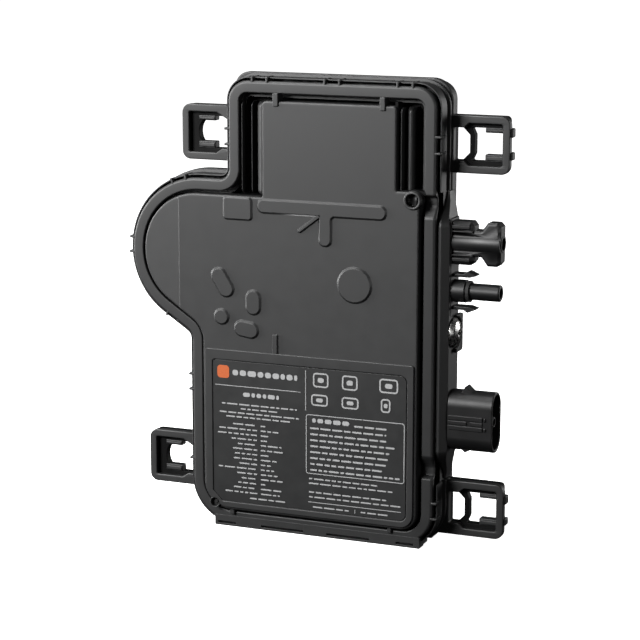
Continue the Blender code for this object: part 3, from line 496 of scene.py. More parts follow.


# The last colour given to the case, rear and connector plastics is a painted edge highlight on their rounded
# edges.
case_look = plastic("moulded_case", (0.0050, 0.0051, 0.0053), (0.0055, 0.0057, 0.0059), 0.52,
                    painted_edge_highlight=(0.010, 0.0102, 0.0105))
rear_look = plastic("moulded_rear", (0.0045, 0.0046, 0.0048), (0.0052, 0.0053, 0.0055), 0.52,
                    painted_edge_highlight=(0.009, 0.0092, 0.0095))
# Painted shade: the case plastic made darker and less shiny, for surfaces that sit deep in recesses.
painted_shade_look = plastic("moulded_painted_shade", (0.0016, 0.0016, 0.0017), (0.0022, 0.0022, 0.0023), 0.62,
                   grain_mm=0.4, specular=0.1)
connector_look = plastic("moulded_connector", (0.0030, 0.0030, 0.0032), (0.0040, 0.0040, 0.0042), 0.44,
                         grain_mm=0.22, grain_depth=0.008, painted_edge_highlight=(0.008, 0.008, 0.0084), edge_mm=0.35,
                         specular=0.36)
chip_look = plastic("moulded_component", (0.012, 0.012, 0.012), (0.02, 0.02, 0.021), 0.42, grain_mm=0.2)
seal_look = plastic("seal_rubber", (0.002, 0.002, 0.002), (0.004, 0.004, 0.004), 0.75, grain_mm=0.3)
nylon_look = plastic("nylon", (0.60, 0.60, 0.56), (0.74, 0.74, 0.70), 0.48, grain_mm=0.4)
sleeve_look = plastic("capacitor_sleeve", (0.02, 0.035, 0.11), (0.035, 0.06, 0.17), 0.3, grain_mm=0.6)
yellow_look = plastic("film_box", (0.62, 0.42, 0.06), (0.78, 0.55, 0.10), 0.42)
blue_look = plastic("disc_coating", (0.04, 0.13, 0.36), (0.06, 0.19, 0.48), 0.35, grain_mm=0.8)
ferrite_look = plastic("ferrite", (0.045, 0.045, 0.05), (0.08, 0.08, 0.085), 0.68, grain_mm=0.5,
                       grain_depth=0.03)
label_look = plastic("label_film", (0.004, 0.0042, 0.0044), (0.0052, 0.0054, 0.0056), 0.46, grain_mm=0.5,
                     grain_depth=0.006)
zinc_look = metal("zinc", (0.42, 0.42, 0.41), (0.72, 0.71, 0.69), 0.24)
brass_look = metal("tinned_contact", (0.58, 0.52, 0.38), (0.76, 0.70, 0.54), 0.26, (1, 1, 6))
aluminium_look = metal("aluminium", (0.60, 0.60, 0.61), (0.78, 0.78, 0.79), 0.34, (1, 8, 1))
winding_look = wound("copper_winding")
green_look = board_look("board_green")
clear_look = lens_look("status_lens")
pale_ink = ink("pale_ink", (0.20, 0.203, 0.206), (0.28, 0.28, 0.28))
orange_ink = ink("orange_ink", (0.30, 0.055, 0.008), (0.36, 0.075, 0.012))

# What a visible piece is made of: its look and its material slot.
CASE = case_look, "case_black"
REAR = rear_look, "case_black"
# A darker, duller copy of the case plastic: painted shade for the ear webs and the well floors.
PAINTED_SHADE = painted_shade_look, "case_black"
CONNECTOR = connector_look, "connector_black"

SLOT_LOOK = {
    "case_black": rear_look, "connector_black": connector_look, "seal_rubber": seal_look,
    "label_black": label_look, "clear_lens": clear_look, "zinc_steel": zinc_look,
    "contact_brass": brass_look, "ferrite": ferrite_look, "copper_winding": winding_look,
    "board_green": green_look, "component_black": chip_look, "capacitor_sleeve": sleeve_look,
    "box_yellow": yellow_look, "nylon_white": nylon_look, "aluminium": aluminium_look, "disc_blue": blue_look,
}


def dress_nodes():
    """Gives each CAD node that stays the procedural look of its material slot."""
    for row in frame["record"]["subparts"]:
        mesh = frame["nodes"][row["node"]].data
        mesh.materials.clear()
        mesh.materials.append(SLOT_LOOK[row["material_slot"]])


# Front cover ---

TROUGHS = ((158.0, 161.9), (33.9, 37.8))      # level part of each
TROUGH_DEPTH = 3.4
TROUGH_RAMP = 6.5
TROUGH_STEP = 1.5
ABOVE_TROUGHS = 170.0
RIM_BAND = 6.5
LIP_FRONT = 2.6
LIP_BY_BULKHEAD = 5.6
GROOVE_FLOOR = 8.0


def trough_shift(z):
    """How far the right rim's face drops back at height z."""
    upper = smooth((z - TROUGHS[0][0] + TROUGH_RAMP) / TROUGH_RAMP) * step_off(z - TROUGHS[0][1])
    lower = smooth((TROUGHS[1][1] + TROUGH_RAMP - z) / TROUGH_RAMP) * step_off(TROUGHS[1][0] - z)
    return TROUGH_DEPTH * max(upper, lower)


def step_off(past):
    """1 up to the trough's steep side, then down to 0 with a bevel at the top of the step."""
    t = max(0.0, min(1.0, past / TROUGH_STEP + 0.4))
    return (1 - t) * (1 - t)


def bulkhead_stops(near, far):
    """Heights just outside the bulkhead's two ends, from the top down."""
    low, high = BULKHEAD_Z
    return high + far, high + near, low - near, low - far


def trough_stops():
    """Heights on the right edge, from the top down, close together where the rim dips."""
    heights = [ABOVE_TROUGHS, (TROUGHS[0][0] + TROUGHS[1][1]) / 2, *bulkhead_stops(0.5, 0.7)]
    count = 36
    for low, high in ((TROUGHS[0][0] - TROUGH_RAMP, TROUGHS[0][1] + 1.0),
                      (TROUGHS[1][0] - 1.0, TROUGHS[1][1] + TROUGH_RAMP)):
        heights += [high - (high - low) * k / count for k in range(count + 1)]
    return {RIGHT_EDGE: sorted(set(heights), reverse=True)}


def dip(x, y, z):
    """Moves the right band of the rim back into its two troughs, and the lip clear of the bulkhead."""
    if x > RIM_RIGHT + 0.5 and BULKHEAD_Z[0] - 0.6 < z < BULKHEAD_Z[1] + 0.6:
        return BULKHEAD_INNER - 0.3, max(y, LIP_BY_BULKHEAD), z
    if x > RIM_RIGHT - RIM_BAND and y < WELL_FLOOR:
        y += trough_shift(z) * (1 - max(y, 0.0) / WELL_FLOOR)
    return x, y, z


def cover_rim():
    """Rim band, the groove behind it with its thin outer lip, and the flange, as one ring."""
    profile = (
        (-7.4, WELL_FLOOR, 0.0), (-5.4, WELL_FLOOR, 0.4), (-5.4, 0.0, 0.6), (0.0, 0.0, 1.3), (0.0, 2.8, 0.3),
        (-1.3, 2.8, 0.2), (-1.3, GROOVE_FLOOR, 0.3), (1.0, GROOVE_FLOOR, 0.2), (1.0, LIP_FRONT, 0.2),
        (1.65, LIP_FRONT, 0.25), (1.65, 9.6, 0.3), (0.6, 9.9, 0.3), (0.6, 11.4, 0.2), (2.6, 11.6, 0.3),
        (2.6, COVER_BACK, 0.3), (-7.4, COVER_BACK, 0.0),
    )
    rim = Solid().sweep(OUTLINE, profile, closed=True, stops=trough_stops(), floor=FLOOR)
    rim.bend(dip).piece("cover_rim", CASE, "front_cover")


UPPER_PANEL_X = (8.1, 72.5)
PANEL_TOP = 201.4
RIGHT_WELL_BOTTOM = 164.0
CREASE_X = -34.0
CREASE_DROP = 1.0
CREASE_RUN = 18.3             # how far left of the crease it has dropped that much
CREASE_STEP = 0.35


def slope(x, y, z):
    """Left of the crease the lobe's panel falls back a little; the crease itself is a faint ridge."""
    if y < 1.0:
        if x < CREASE_X - 0.1:
            y += CREASE_STEP + (CREASE_X - x) / CREASE_RUN * CREASE_DROP
        elif x < CREASE_X + 0.1:
            y -= 0.1
    return x, y, z


def cover_panel():
    """Raised front panel: a hollow tray with the upper box between the two wells."""
    inner = inset(OUTLINE, -6.9)
    corners = inner[:4] + [
        (UPPER_PANEL_X[0], inner[3][1], 0.8), (UPPER_PANEL_X[0], PANEL_TOP, 1.6),
        (UPPER_PANEL_X[1], PANEL_TOP, 1.6), (UPPER_PANEL_X[1], RIGHT_WELL_BOTTOM, 0.8),
        (inner[6][0], RIGHT_WELL_BOTTOM, 1.6), inner[7],
    ]
    profile = ((-1.6, PLATEAU_FRONT, 0.0), (0.0, PLATEAU_FRONT, 1.4), (0.0, WELL_FLOOR + 0.4, 0.0),
               (-1.8, WELL_FLOOR + 0.4, 0.0), (-1.8, PLATEAU_FRONT + 2.0, 0.0))
    panel = Solid().sweep(corners, profile, floor=FLOOR, segments=5)
    for x in (CREASE_X - 0.45, CREASE_X, CREASE_X + 0.45):
        panel.split(x)
    return panel.bend(slope).piece("cover_panel", CASE)


WELL_TOP = 200.6
WELL_RIBS = (                 # outlines in plan: x, depth, fillet
    ((-3.65, 3.0, 0.0), (-3.5, 1.0, 0.1), (-3.2, 1.0, 0.1), (-3.1, 3.0, 0.0)),
    ((1.25, 3.0, 0.0), (1.4, 1.2, 0.1), (1.7, 1.2, 0.1), (1.8, 3.0, 0.0)),
    ((4.3, 1.7, 0.1), (6.6, -0.8, 0.5), (7.4, -0.8, 0.0)),
    ((73.4, 2.6, 0.0), (73.6, 0.2, 0.1), (74.1, 0.2, 0.1), (74.3, 2.6, 0.0)),
    ((75.5, 4.4, 0.4), (76.5, 2.3, 1.2), (77.9, 2.0, 1.2), (79.2, 4.4, 0.4)),
)


def well_floor():
    """Floor of the two wells and of the gap above the panel, with the ribs that stand on it."""
    outer = rectangle((-5.6, 156.0), (85.9, 205.2), 3.0)
    hole = rectangle((8.0, 158.0), (71.0, 200.0), 1.0)
    floor, ribs = Solid(), Solid()
    floor.slab([outer, hole], WELL_BACK, WELL_BACK + 1.8, edges=(0.0, 0.0), segments=1)
    for x, z, front in (
        ((-5.6, 6.6), (156.0, 158.0), 0.0), ((72.4, 85.9), (162.2, 164.2), 0.0),
        ((7.2, 8.6), (157.0, 199.6), -0.8), ((70.8, 72.3), (157.0, 203.0), 0.4),
        ((7.2, 72.3), (199.8, 201.3), 5.0),
    ):
        floor.block(x, (front, WELL_BACK + 1.0), z)
    for plan in WELL_RIBS:
        ribs.ridge(plan, WELL_BACK + 0.3, (158.4, WELL_TOP))
    ribs.piece("cover_well_ribs", CASE)
    # The well floor gets the darker plastic: painted shade in the wells.
    floor.piece("cover_wells", PAINTED_SHADE)


LABEL_X = (-16.9, 78.6)
LABEL_Z = (13.4, 80.7)
ZONE_TOP = 85.9


def label_corners(grow=0.0):
    """The label's outline, with its lower left corner cut off beside the vent."""
    (left, right), (low, high), cut = LABEL_X, LABEL_Z, 4.6
    return inset([(left + cut, low, 0.8), (right, low, 3.0), (right, high, 3.0), (left, high, 1.2),
                  (left, low + cut, 0.8)], grow)


def label_zone():
    """Thicker field round the rating label, with the shallow pocket the label lies in."""
    inner = inset(OUTLINE, -8.2)
    outer = [inner[0], (inner[0][0], ZONE_TOP, 1.2), (inner[7][0], ZONE_TOP, 1.2), inner[7]]
    back = PLATEAU_FRONT + 0.6
    zone = Solid().slab([outer, label_corners(0.35)], LABEL_FRONT, back, edges=(0.3, 0.0))
    zone.slab([label_corners(1.0)], LABEL_FRONT + 0.8, back, edges=(0.0, 0.0), segments=1)
    return zone.piece("cover_label_field", CASE)


LENS = (80.4, 2.2, 160.2)     # middle of the status window, at the depth its heights are taken from
MARK_HEIGHT = 0.9


def raised_features():
    """Tee bar, pad, capsules, round boss, lens collar, tab and brace on the panel."""
    front, back = PLATEAU_FRONT - MARK_HEIGHT, PLATEAU_FRONT + 0.4
    tee = [
        (5.9, 150.7, 3.0), (36.0, 150.7, 1.2), (36.0, 137.2, 2.8), (42.0, 137.2, 2.8),
        (42.0, 150.7, 1.8), (68.2, 150.7, 3.0), (68.2, 157.0, 3.0), (5.9, 157.0, 3.0),
    ]
    rise = degrees(atan2(7.4, 9.7))
    bits = Solid()
    for corners, edge in (
        (tee, 0.75),
        (rectangle((-11.1, 146.9), (3.0, 157.2), 1.6), 0.7),
        (pill((-11.9, 117.3), 3.4, 3.8, -58.0), 0.75),
        (pill((3.5, 108.9), 2.1, 3.6, 90.0), 0.75),
        (disc((-12.5, 101.2), 3.6), 0.75),
        (pill((0.0, 96.1), 2.3, 3.7, -8.0), 0.75),
        (disc((53.2, 120.4), 8.1), 0.75),
        (rectangle((13.1, 85.5), (15.7, 94.7), 0.4), 0.4),
        (pill((31.4, 147.3), 6.0, 0.95, rise), 0.5),
    ):
        bits.emboss(corners, PLATEAU_FRONT + 0.05, front, edge * 1.55)
    lens = LENS[0], LENS[2]
    bits.slab([disc(lens, 4.4)], PLATEAU_FRONT - 0.1, 1.5, edges=(0.5, 0.0))
    bits.slab([disc(lens, 4.1), disc(lens, 2.9)], front, back, edges=(0.45, 0.0))
    return bits.piece("cover_raised_marks", CASE)


RIB_WIDTH = 1.1
TOP_RIBS = (2.0, 9.2, 37.2, 44.3, 71.8, 78.9)
RIGHT_RIBS = (188.3, 181.0, 21.9, 14.6)
LEFT_UPPER_RIBS = (187.9, 180.8)
LEFT_LOWER_RIBS = (71.9, 64.6, 31.3)
LOBE_CENTRE = Vector((-25.2, 130.6))
LOBE_RIBS = ((-59.0, 135.1), (-59.6, 128.3), (-38.7, 162.1), (-31.8, 164.2), (-42.8, 98.4), (-37.1, 95.0))


def groove_ribs():
    """Pairs of short ribs that cross the groove behind the rim."""
    depth = (0.1, GROOVE_FLOOR + 0.2)
    half = RIB_WIDTH / 2
    inner, reach = -1.2, 2.0
    ribs = Solid()
    for x in TOP_RIBS:
        ribs.block((x - half, x + half), depth, (RIM_TOP + inner, RIM_TOP + reach))
    for left, right, heights in ((RIM_RIGHT + inner, RIM_RIGHT + reach, RIGHT_RIBS),
                                 (RIM_LEFT_UPPER - reach, RIM_LEFT_UPPER - inner, LEFT_UPPER_RIBS),
                                 (RIM_LEFT_LOWER - reach, RIM_LEFT_LOWER - inner, LEFT_LOWER_RIBS)):
        for z in heights:
            ribs.block((left, right), depth, (z - half, z + half))
    for place in LOBE_RIBS:
        outwards = (Vector(place) - LOBE_CENTRE).normalized()
        middle = LOBE_CENTRE + outwards * (LOBE_RADIUS + (inner + reach) / 2)
        angle = degrees(atan2(outwards.y, outwards.x))
        bar = pill(middle, (reach - inner) / 2 - half, half, angle)
        ribs.slab([[(x, z, 0.3) for x, z, _ in bar]], *depth, edges=(0.3, 0.3), arc=30)
    ribs.piece("cover_groove_ribs", CASE)


SKIRT_X = (-18.2, 84.3)
SKIRT_Y = (-0.05, 6.0)
SKIRT_TOP = 5.2
SKIRT_SLOTS = ((-16.4, -7.3), (5.7, 27.0), (38.8, 59.6), (73.0, 81.5))


def skirt():
    """Standing skirt with slots, its stepped right end, and the clips above it."""
    bits = Solid()
    left = SKIRT_X[0]
    for start, end in SKIRT_SLOTS:
        across = (start - 0.3, end + 0.3)
        bits.block((left + 0.2, start), SKIRT_Y, (0.0, SKIRT_TOP), 0.15)
        bits.block(across, SKIRT_Y, (0.0, 1.1), 0.15)
        bits.block(across, SKIRT_Y, (2.1, SKIRT_TOP), 0.15)
        bits.block(across, (2.2, SKIRT_Y[1]), (0.2, 3.2), 0.2)
        left = end
    bits.block((left, SKIRT_X[1]), SKIRT_Y, (0.0, SKIRT_TOP), 0.15)
    bits.block((SKIRT_X[0] + 0.4, SKIRT_X[1] - 0.4), (5.0, COVER_BACK - 0.2), (0.0, 3.3))
    for x in ((-9.9, -7.5), (69.0, 71.0)):
        bits.block(x, (-1.4, 3.0), (6.2, 9.6), 0.35)
    for x in ((13.5, 16.2), (64.8, 67.4)):
        bits.block(x, (-3.3, 3.0), (199.2, 205.2), 0.4)
    bits.piece("cover_skirt_and_clips", CASE)


VENT = (-16.5, 2.0, 12.0)     # middle of the vent, at the depth its heights are taken from


def vent_and_lens():
    vent = Solid()
    vent.spin(((0.3, 3.9, 0.0), (0.9, 3.9, 0.1), (1.0, 3.4, 0.0), (2.2, 3.3, 0.0), (2.2, 0.2, 0.0)),
              VENT, "Y", 32)
    vent.piece("vent_cap", (seal_look, "seal_rubber"), "vent_plug")
    collar = Solid()
    collar.spin(((2.1, 3.0, 0.0), (2.1, 5.5, 0.15), (2.6, 5.5, 0.2), (2.6, 3.0, 0.0)),
                VENT, "Y", 40, closed=True)
    collar.piece("vent_collar", CASE)
    lens = Solid()
    lens.spin(((0.3, 2.6, 0.0), (1.5, 2.3, 0.8), (2.4, 1.4, 0.3), (2.4, 0.2, 0.0)), LENS, "Y", 40)
    lens.piece("status_window", (clear_look, "clear_lens"), "status_lens")


# Label ---

INK_FRONT = LABEL_FRONT + 0.05
INK_BACK = LABEL_FRONT + 0.16
ROW_PITCH = 2.33
LEFT_ROWS = 15
LEFT_FIRST_ROW = 51.0
COLUMN_GAP = (5.4, 7.2)
BOX_X = (29.9, 78.0)
BOX_Z = (30.9, 59.0)
BOX_ROWS = 9
BOX_FIRST_ROW = 55.4
BOX_PITCH = 2.82


class Print(Solid):
    """Flat shapes of ink: generic bars and frames where a rating label has its print."""

    def __init__(self):
        super().__init__()
        self.rng = random.Random(11)

    def shape(self, loops, arc=8.0):
        """Adds an outline, hollow where a second one is given."""
        return self.slab(loops, INK_FRONT, INK_BACK, edges=(0.0, 0.0), arc=arc, segments=1)

    def bar(self, x, z, height):
        radius = min(height, x[1] - x[0]) * 0.42
        self.shape([rectangle((x[0], z - height / 2), (x[1], z + height / 2), radius)], arc=30)

    def words(self, x, z, height=0.62, longest=5.5):
        """A row of short bars that stands for a line of small print."""
        left = x[0]
        while left < x[1] - 0.8:
            right = min(left + self.rng.uniform(1.6, longest), x[1])
            self.bar((left, right), z, height)
            left = right + 0.75

    def frame(self, low, high, line, radius):
        corners = rectangle(low, high, radius)
        self.shape([corners, inset(corners, -line)], arc=15)


def label_print():
    """Rows of small print on the left; signs, a framed block and more rows on the right."""
    marks = Print()
    marks.words((-6.9, 25.6), 75.4, 2.6, 4.5)
    marks.words((-1.6, 16.4), 65.3, 2.0, 4.0)
    marks.bar((-15.8, 27.2), 69.0, 0.3)
    for z, x in ((60.4, (-12.4, 25.4)), (58.4, (-2.8, 15.6)), (56.3, (-13.6, 26.4)), (54.4, (-10.2, 22.0))):
        marks.words(x, z)
    for k in range(LEFT_ROWS):
        z = LEFT_FIRST_ROW - ROW_PITCH * k
        marks.words((COLUMN_GAP[0] - marks.rng.uniform(7.0, 20.5), COLUMN_GAP[0]), z)
        marks.words((COLUMN_GAP[1], COLUMN_GAP[1] + marks.rng.uniform(2.6, 12.5)), z)
    marks.words((1.6, 19.4), 15.8)
    marks.shape([rectangle((29.6, 60.6), (29.9, 79.6), 0.1)])
    for x, z, wide, high in ((37.2, 75.4, 7.6, 6.8), (51.4, 75.4, 7.6, 6.8), (70.2, 75.6, 9.0, 6.6),
                             (36.6, 66.0, 8.2, 5.4), (51.6, 66.0, 8.2, 5.4), (68.8, 66.4, 4.6, 6.4)):
        marks.frame((x - wide / 2, z - high / 2), (x + wide / 2, z + high / 2), 0.7, 1.6)
        marks.bar((x - wide / 5, x + wide / 5), z, high / 3)
    marks.frame((BOX_X[0], BOX_Z[0]), (BOX_X[1], BOX_Z[1]), 0.35, 1.2)
    marks.words((33.0, 51.2), 56.3, 2.0, 4.0)
    marks.words((53.6, 70.6), BOX_FIRST_ROW, 0.8)
    for k in range(1, BOX_ROWS):
        marks.words((32.0, marks.rng.uniform(65.5, 76.0)), BOX_FIRST_ROW - BOX_PITCH * k, 0.8)
    for z, right in ((28.6, 65.0), (26.4, 73.4), (22.2, 69.4), (19.9, 77.0)):
        marks.words((31.4, right), z)
    marks.bar((31.0, 76.6), 17.4, 0.3)
    marks.words((33.4, 51.2), 15.2)
    marks.words((57.0, 71.6), 15.2)
    marks.bar((54.0, 54.3), 15.2, 1.8)
    marks.piece("label_print_pale", (pale_ink, "label_black"))


def label():
    film = Solid()
    film.slab([label_corners()], LABEL_FRONT + 0.14, LABEL_FRONT + 0.6, edges=(0.12, 0.0), segments=2)
    film.piece("label_film", (label_look, "label_black"), "rating_label")
    label_print()
    mark = Print().shape([rectangle((-14.6, 72.4), (-8.6, 78.4), 1.6)])
    mark.piece("label_print_orange", (orange_ink, "label_black"))


# Rear shell ---

EAR_REACH = 29.5
EAR_HEIGHT = 25.7
EAR_FRONT = 13.3
EAR_STEP = 16.0               # depth at which an ear's opening narrows
EAR_BACK = 20.3
EAR_LOW = {"upper_right": 171.4, "upper_left": 171.4, "lower_right": 4.5, "lower_left": 13.9}
EAR_BAR = 3.5
EAR_THICK = 5.5


def seat(x, y, z):
    """Leaves room for the bulkhead in the right side wall."""
    if x > BULKHEAD_INNER - 0.2 and y < 21.8 and BULKHEAD_Z[0] - 0.4 < z < BULKHEAD_Z[1] + 0.4:
        x = BULKHEAD_INNER - 0.2
    return x, y, z


def rear_tray():
    """Rear shell: rim, side wall and back, hollow inside, with a framed back panel."""
    profile = (
        (-3.0, 24.7, 0.0), (-1.6, 24.7, 0.4), (-1.6, REAR_RIM_FRONT, 0.3), (2.9, REAR_RIM_FRONT, 0.7),
        (2.9, 18.0, 0.9), (1.3, 18.5, 0.5), (1.3, BACK, 2.2), (-6.0, BACK, 0.3), (-6.8, 25.8, 0.4),
        (-8.4, 25.8, 0.0),
    )
    tray = Solid().sweep(REAR_OUTLINE, profile, stops={RIGHT_EDGE: bulkhead_stops(0.3, 0.5)}, floor=FLOOR)
    tray.bend(seat).piece("shell_tray", REAR, "rear_shell")


def back_ribs():
    """Stiffening ribs, bosses and a round transformer seat on the back panel."""
    bits = Solid()
    top = (25.2, BACK - 0.1)
    lobe = (-22.0, 130.4)
    for z in (16.0, 38.0, 60.0, 82.0):
        bits.block((-24.0, 85.0), top, (z - 0.8, z + 0.8), 0.35)
    for x in (12.0, 46.0, 80.0):
        bits.block((x - 0.8, x + 0.8), top, (8.0, 204.0), 0.35)
    for z in (170.0, 188.0):
        bits.block((-4.0, 85.0), top, (z - 0.8, z + 0.8), 0.35)
    bits.slab([disc(lobe, 24.0), disc(lobe, 22.4)], *top, edges=(0.0, 0.4), arc=5)
    bits.slab([disc(lobe, 12.0), disc(lobe, 10.6)], *top, edges=(0.0, 0.4), arc=5)
    for boss in ((0.0, 195.0), (78.0, 160.0), (-16.0, 24.0), (74.0, 24.0)):
        bits.slab([disc(boss, 4.2), disc(boss, 2.0)], *top, edges=(0.0, 0.4))
    field = rectangle((50.0, 100.0), (76.0, 148.0), 3.0), rectangle((51.4, 101.4), (74.6, 146.6), 2.0)
    bits.slab(field, *top, edges=(0.0, 0.4))
    bits.piece("shell_back_ribs", REAR)


def fingers(ears, x, low, high):
    """Upper and lower finger, each a thick root with a narrower tongue on its front."""
    for root, tongue in (((low + 5.2, low + 8.5), (low + 5.9, low + 7.8)),
                         ((high - 7.6, high - 5.2), (high - 7.2, high - 5.8))):
        ears.block(x, (15.7, EAR_BACK - 0.3), root, 0.45)
        ears.block((x[0] + 0.5, x[1] - 0.3), (15.0, 16.4), tongue, 0.4)


def ear_right(ears, webs, low, root):
    """Frame of a right ear, and behind it a web with a six-sided window and a gap."""
    high = low + EAR_HEIGHT
    outer = RIM_RIGHT + EAR_REACH
    left, inside = 93.7, outer - EAR_BAR
    bottom, top = low + EAR_THICK, high - EAR_THICK
    ring = rectangle((root, low), (outer, high), (0.0, 4.0, 4.0, 0.0))
    opening = [
        (left, bottom, 0.4), (98.6, bottom, 0.5), (100.7, low + EAR_BAR, 0.8), (inside, low + EAR_BAR, 1.0),
        (inside, high - EAR_BAR, 1.0), (100.7, high - EAR_BAR, 0.8), (98.6, top, 0.5), (left, top, 0.4),
    ]
    ears.slab([ring, opening], EAR_FRONT, EAR_STEP + 0.4, edges=(0.5, 0.0), arc=12)
    behind = rectangle((root, low + 0.1), (outer - 1.3, high - 0.1), (0.0, 3.4, 2.0, 0.0))
    window = [
        (101.2, bottom, 0.6), (inside, bottom, 0.8), (inside, top, 0.8), (101.2, top, 0.6),
        (102.7, top - 3.2, 0.8), (102.7, bottom + 3.2, 0.8),
    ]
    gap = [(left, bottom, 0.4), (97.0, bottom, 0.6), (100.4, bottom + 3.4, 0.6), (100.4, top - 3.4, 0.6),
           (97.0, top, 0.6), (left, top, 0.4)]
    webs.slab([behind, window, gap], EAR_STEP, EAR_BACK, edges=(0.3, 0.4), arc=12)
    fingers(ears, (inside - 8.6, inside + 0.8), low, high)
    for z in ((low + 6.4, low + 9.9), (high - 9.3, high - 5.2)):
        ears.block((outer - 1.5, outer + 1.0), (EAR_FRONT + 1.0, EAR_BACK - 1.5), z, 0.7)


def ear_left(ears, webs, low, edge):
    """Frame of a left ear, and behind it a web with one window that is round on its left."""
    high = low + EAR_HEIGHT
    root, outer, shell = edge - 1.0, edge - EAR_REACH, edge - 3.2
    start, inside = outer + 7.6, outer + EAR_BAR
    bottom, top = low + EAR_THICK, high - EAR_THICK
    ring = rectangle((outer, low), (root, high), (4.0, 0.0, 0.0, 4.0))
    opening = [
        (inside, low + EAR_BAR, 0.8), (shell - 9.0, low + EAR_BAR, 0.8), (shell - 6.0, bottom, 0.5),
        (shell, bottom, 0.3), (shell, top - 3.0, 0.3), (shell - 8.5, high - EAR_BAR, 0.5),
        (inside, high - EAR_BAR, 0.8),
    ]
    ears.slab([ring, opening], EAR_FRONT, EAR_STEP + 0.4, edges=(0.5, 0.0), arc=12)
    behind = rectangle((outer + 0.6, low + 0.1), (root, high - 0.1), (3.6, 0.0, 0.0, 3.6))
    hole = [(start, bottom, 7.0), (shell, bottom, 0.4), (shell, top - 3.0, 0.4), (shell - 6.8, top, 0.6),
            (start, top, 7.0)]
    webs.slab([behind, hole], EAR_STEP, EAR_BACK, edges=(0.3, 0.4), arc=12)
    fingers(ears, (start - 0.2, start + 8.6), low, high)


def ears():
    """The four bracket ears, and the rear shell's part of the standing foot."""
    bits, webs = Solid(), Solid()
    ear_right(bits, webs, EAR_LOW["upper_right"], RIM_RIGHT + 1.0)
    ear_right(bits, webs, EAR_LOW["lower_right"], RIM_RIGHT - 4.6)
    ear_left(bits, webs, EAR_LOW["upper_left"], RIM_LEFT_UPPER)
    ear_left(bits, webs, EAR_LOW["lower_left"], RIM_LEFT_LOWER)
    bits.block(SKIRT_X, (17.5, 26.4), (0.0, 3.4), 0.4)
    # The webs behind the ear frames get the darker plastic: painted shade.
    webs.piece("shell_ear_webs", PAINTED_SHADE)
    bits.piece("shell_ears", REAR)


# Bulkhead and connectors ---

BULKHEAD_FRONT = 2.4
BULKHEAD_END = 12.5           # depth of its front at the ends, before it runs forward
BULKHEAD_LIP = 90.4           # its front edge laps over the groove this far in
BULKHEAD_RUN = 15.0           # height over which each end tapers
AC_HALF_DEPTH = 7.0


def bulkhead():
    """Side block that carries the connectors, run out to the back at both ends."""
    low, high = BULKHEAD_Z

    def plan(part):
        """Outline seen from above: 0 at an end, 1 where the block has its full size."""
        face = BULKHEAD_INNER + 0.9 + (BULKHEAD_FACE - BULKHEAD_INNER - 0.9) * part
        front = BULKHEAD_END + (BULKHEAD_FRONT - BULKHEAD_END) * smooth(part)
        lip = BULKHEAD_INNER + (BULKHEAD_LIP - BULKHEAD_INNER) * smooth(part)
        behind = max(5.2, front + 0.4)
        shoulder = lip + 0.3 + 1.5 * part
        return soften((
            (BULKHEAD_INNER, 21.5, 0.1), (BULKHEAD_INNER, behind + 0.1, 0.05), (lip - 0.01, behind, 0.05),
            (lip, front, 0.5), (shoulder, front, 0.5), (face, front + 0.4 + 2.9 * part, 0.8),
            (face + 0.01, 19.0, 0.8), (BULKHEAD_INNER + 0.61, 21.5, 0.15),
        ), closed=True)

    parts = [k / 14 for k in range(15)]
    stations = [(low + BULKHEAD_RUN * part, part) for part in parts]
    stations += [(high - BULKHEAD_RUN * part, part) for part in reversed(parts)]
    body = Solid().loft([[(x, y, z) for x, y in plan(part)] for z, part in stations])
    body.block((BULKHEAD_FACE - 1.5, BULKHEAD_FACE + 0.3), (7.0, 18.0), (107.6, 151.6))
    body.piece("bulkhead_block", REAR, "connector_bulkhead")


def ac_connector():
    """Oblong shroud with rails on its front, catches, and the sleeve round the middle contact."""
    outline = pill((AXIS_Y, AC_Z), 6.95, AC_HALF_DEPTH, 90.0)
    shroud = Solid()
    shroud.slab([outline, inset(outline, -1.5)], 95.4, 116.3, "YZ", edges=(0.2, 0.45), arc=5, segments=4)
    for sign, rise in ((1, 3.7), (-1, 1.9)):
        root, peak = AC_Z + sign * 12.6, AC_Z + sign * (12.6 + rise)
        wedge = [(100.3, root, 0.2), (102.6, peak, 0.4), (106.6, root, 0.2)]
        shroud.slab([wedge], AXIS_Y - 3.4, AXIS_Y + 2.6, edges=(0.35, 0.35), arc=20)
    front = AXIS_Y - AC_HALF_DEPTH
    depth = (front - 0.55, front + 0.8)
    for x, z in (((95.8, 112.0), (1.3, 3.3)), ((95.8, 112.0), (-3.3, -1.3)), ((95.8, 104.6), (-0.9, 0.9)),
                 ((106.0, 112.0), (-0.9, 0.9)), ((112.5, 113.6), (1.5, 3.1)), ((112.5, 113.6), (-3.1, -1.5))):
        shroud.block(x, depth, (AC_Z + z[0], AC_Z + z[1]), 0.25)
    shroud.spin(((1.75, 8.0, 0.0), (1.75, 23.6, 0.2), (2.5, 23.6, 0.3), (2.5, 8.0, 0.0)),
                (ROUND_START, AXIS_Y, AC_Z), "X", 32, closed=True)
    shroud.piece("ac_shroud_shell", CONNECTOR, "ac_shroud")


